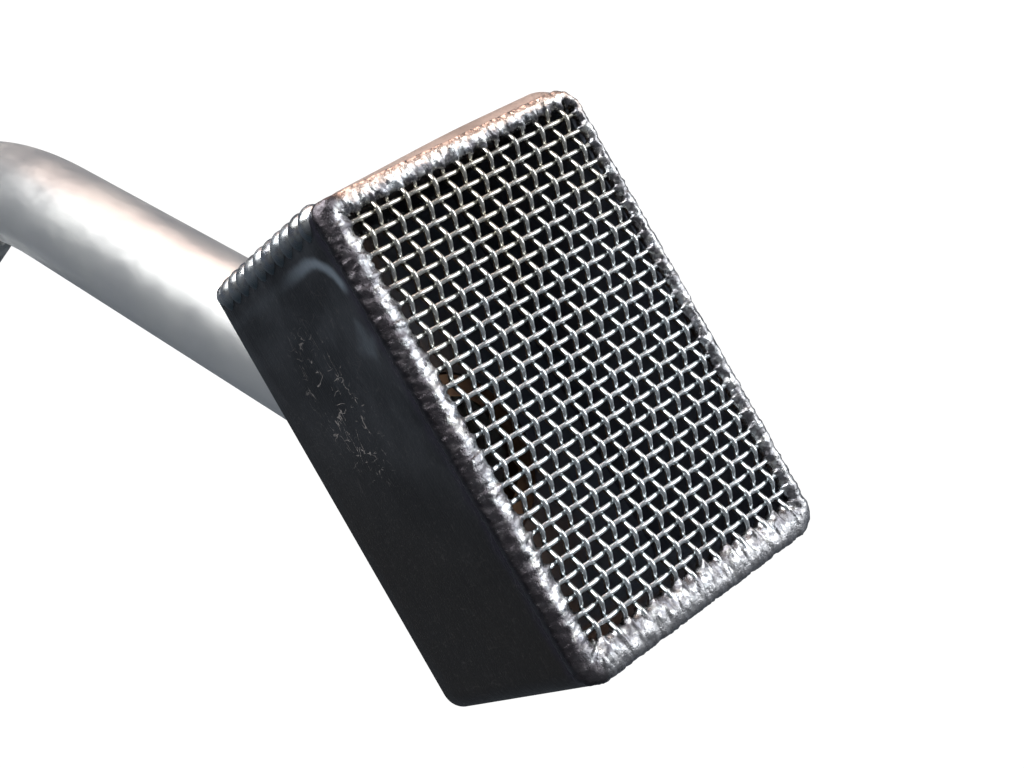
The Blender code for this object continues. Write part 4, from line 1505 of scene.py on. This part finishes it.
def studio_world(settings):
    """A soft studio all round: bright overhead, warm behind the tube, dim low down in front."""
    world = bpy.data.worlds.new("studio")
    world.use_nodes = True
    tree = Tree(world.node_tree)
    tree.tree.nodes.clear()
    way = tree.vector("NORMALIZE", tree.out("ShaderNodeTexCoord", socket="Generated"))
    _, y, z = tree.parts(way)
    overhead = tree.step(z, -0.1, 0.9)
    shade = tree.blend(overhead, (0.07, 0.073, 0.08), (0.30, 0.31, 0.33))
    far = tree.step(y, 0.25, 0.95)
    shade = tree.blend(far, shade, (0.52, 0.55, 0.60))
    warm = tree.step(tree.vector("DOT_PRODUCT", way, Vector((-0.80, 0.58, 0.12)).normalized()), 0.55, 0.98)
    shade = tree.blend(warm * settings.sheen, shade, (0.95, 0.7, 0.6))
    back = tree.out("ShaderNodeBackground", {"Color": shade, "Strength": settings.sky})
    tree.node("ShaderNodeOutputWorld", {0: back})
    return world


def soft_light(name, place, target, size, watts, tint):
    """A rectangular soft light that faces its target."""
    lamp = bpy.data.lights.new(name, "AREA")
    lamp.shape = "RECTANGLE"
    lamp.size, lamp.size_y = size
    lamp.energy, lamp.color = watts, tint
    obj = bpy.data.objects.new(name, lamp)
    bpy.context.scene.collection.objects.link(obj)
    turn = (Vector(target) - Vector(place)).to_track_quat("-Z", "Y").to_matrix().to_4x4()
    obj.matrix_world = Matrix.Translation(place) @ turn
    return obj


class BURNER_OT_stage(bpy.types.Operator):
    """Lay the floor, hang the lights and place the camera"""

    bl_idname = "burner.stage"
    bl_label = "Stage"

    def execute(self, context):
        scene, settings = context.scene, context.scene.burner_stage
        half, level = FLOOR_HALF, CAD_BOX[0].z - FLOOR_GAP
        corners = [(x, y, level) for x, y in ((-half, -half), (half, -half), (half, half), (-half, half))]
        mesh = bpy.data.meshes.new("floor")
        mesh.from_pydata(corners, [], [(0, 1, 2, 3)])
        mesh.materials.append(stage_material(settings))
        floor = bpy.data.objects.new("floor", mesh)
        scene.collection.objects.link(floor)
        scene.world = studio_world(settings)
        head = (WALL_LOW + WALL_HIGH) / 2.0
        tube = Vector((0.03, 0.0, 0.10))
        white, cool, rosy = (1.0, 1.0, 1.0), (0.97, 0.99, 1.0), (1.0, 0.74, 0.64)
        soft_light("key_light", (0.05, 0.34, 0.56), head, (0.44, 0.36), settings.key, cool)
        soft_light("side_light", (-0.44, -0.27, 0.27), tube, (0.50, 0.54), settings.side, white)
        soft_light("seam_light", (-0.40, -0.13, 0.50), head, (0.24, 0.24), settings.seam, white)
        soft_light("warm_light", (-0.50, 0.13, 0.14), tube, (0.42, 0.34), settings.warm, rosy)
        lens = bpy.data.cameras.new("camera")
        lens.lens, lens.sensor_width = settings.lens, SENSOR_WIDTH
        lens.clip_start, lens.clip_end = CLIP
        camera = bpy.data.objects.new("camera", lens)
        scene.collection.objects.link(camera)
        forward = Vector(
            (
                math.sin(settings.heading) * math.cos(settings.down),
                math.cos(settings.heading) * math.cos(settings.down),
                -math.sin(settings.down),
            )
        )
        turn = forward.to_track_quat("-Z", "Y").to_matrix().to_4x4() @ Matrix.Rotation(settings.roll, 4, "Z")
        camera.matrix_world = Matrix.Translation(settings.eye) @ turn
        scene.camera = camera
        scene.view_settings.view_transform = "Standard"
        return {"FINISHED"}


class BURNER_PT_panel(bpy.types.Panel):
    """Sizes, colours and the steps that build the assembly"""

    bl_label = "Burner Assembly"
    bl_idname = "BURNER_PT_panel"
    bl_space_type = "VIEW_3D"
    bl_region_type = "UI"
    bl_category = "Burner"

    def draw(self, context):
        for operator in OPERATORS:
            self.layout.operator(operator.bl_idname)
        for name in GROUPS:
            box = self.layout.box()
            group = getattr(context.scene, name)
            box.label(text=type(group).__doc__)
            for field in type(group).__annotations__:
                box.prop(group, field)


GROUPS = {
    "burner_head": HeadSizes,
    "burner_cloth": ClothSizes,
    "burner_welds": WeldSizes,
    "burner_tube": TubeSizes,
    "burner_flange": FlangeSizes,
    "burner_colours": FinishColours,
    "burner_stage": StageSettings,
}
OPERATORS = (
    BURNER_OT_finishes,
    BURNER_OT_head,
    BURNER_OT_cloth,
    BURNER_OT_rim,
    BURNER_OT_seams,
    BURNER_OT_tube,
    BURNER_OT_flange,
    BURNER_OT_fasteners,
    BURNER_OT_stage,
)


def register():
    for kind in (*GROUPS.values(), *OPERATORS, BURNER_PT_panel):
        bpy.utils.register_class(kind)
    for name, kind in GROUPS.items():
        setattr(bpy.types.Scene, name, PointerProperty(type=kind))


def unregister():
    for name in GROUPS:
        delattr(bpy.types.Scene, name)
    for kind in reversed((*GROUPS.values(), *OPERATORS, BURNER_PT_panel)):
        bpy.utils.unregister_class(kind)


def main():
    register()
    for operator in OPERATORS:
        group, step = operator.bl_idname.split(".")
        getattr(getattr(bpy.ops, group), step)()


if __name__ == "__main__":
    main()
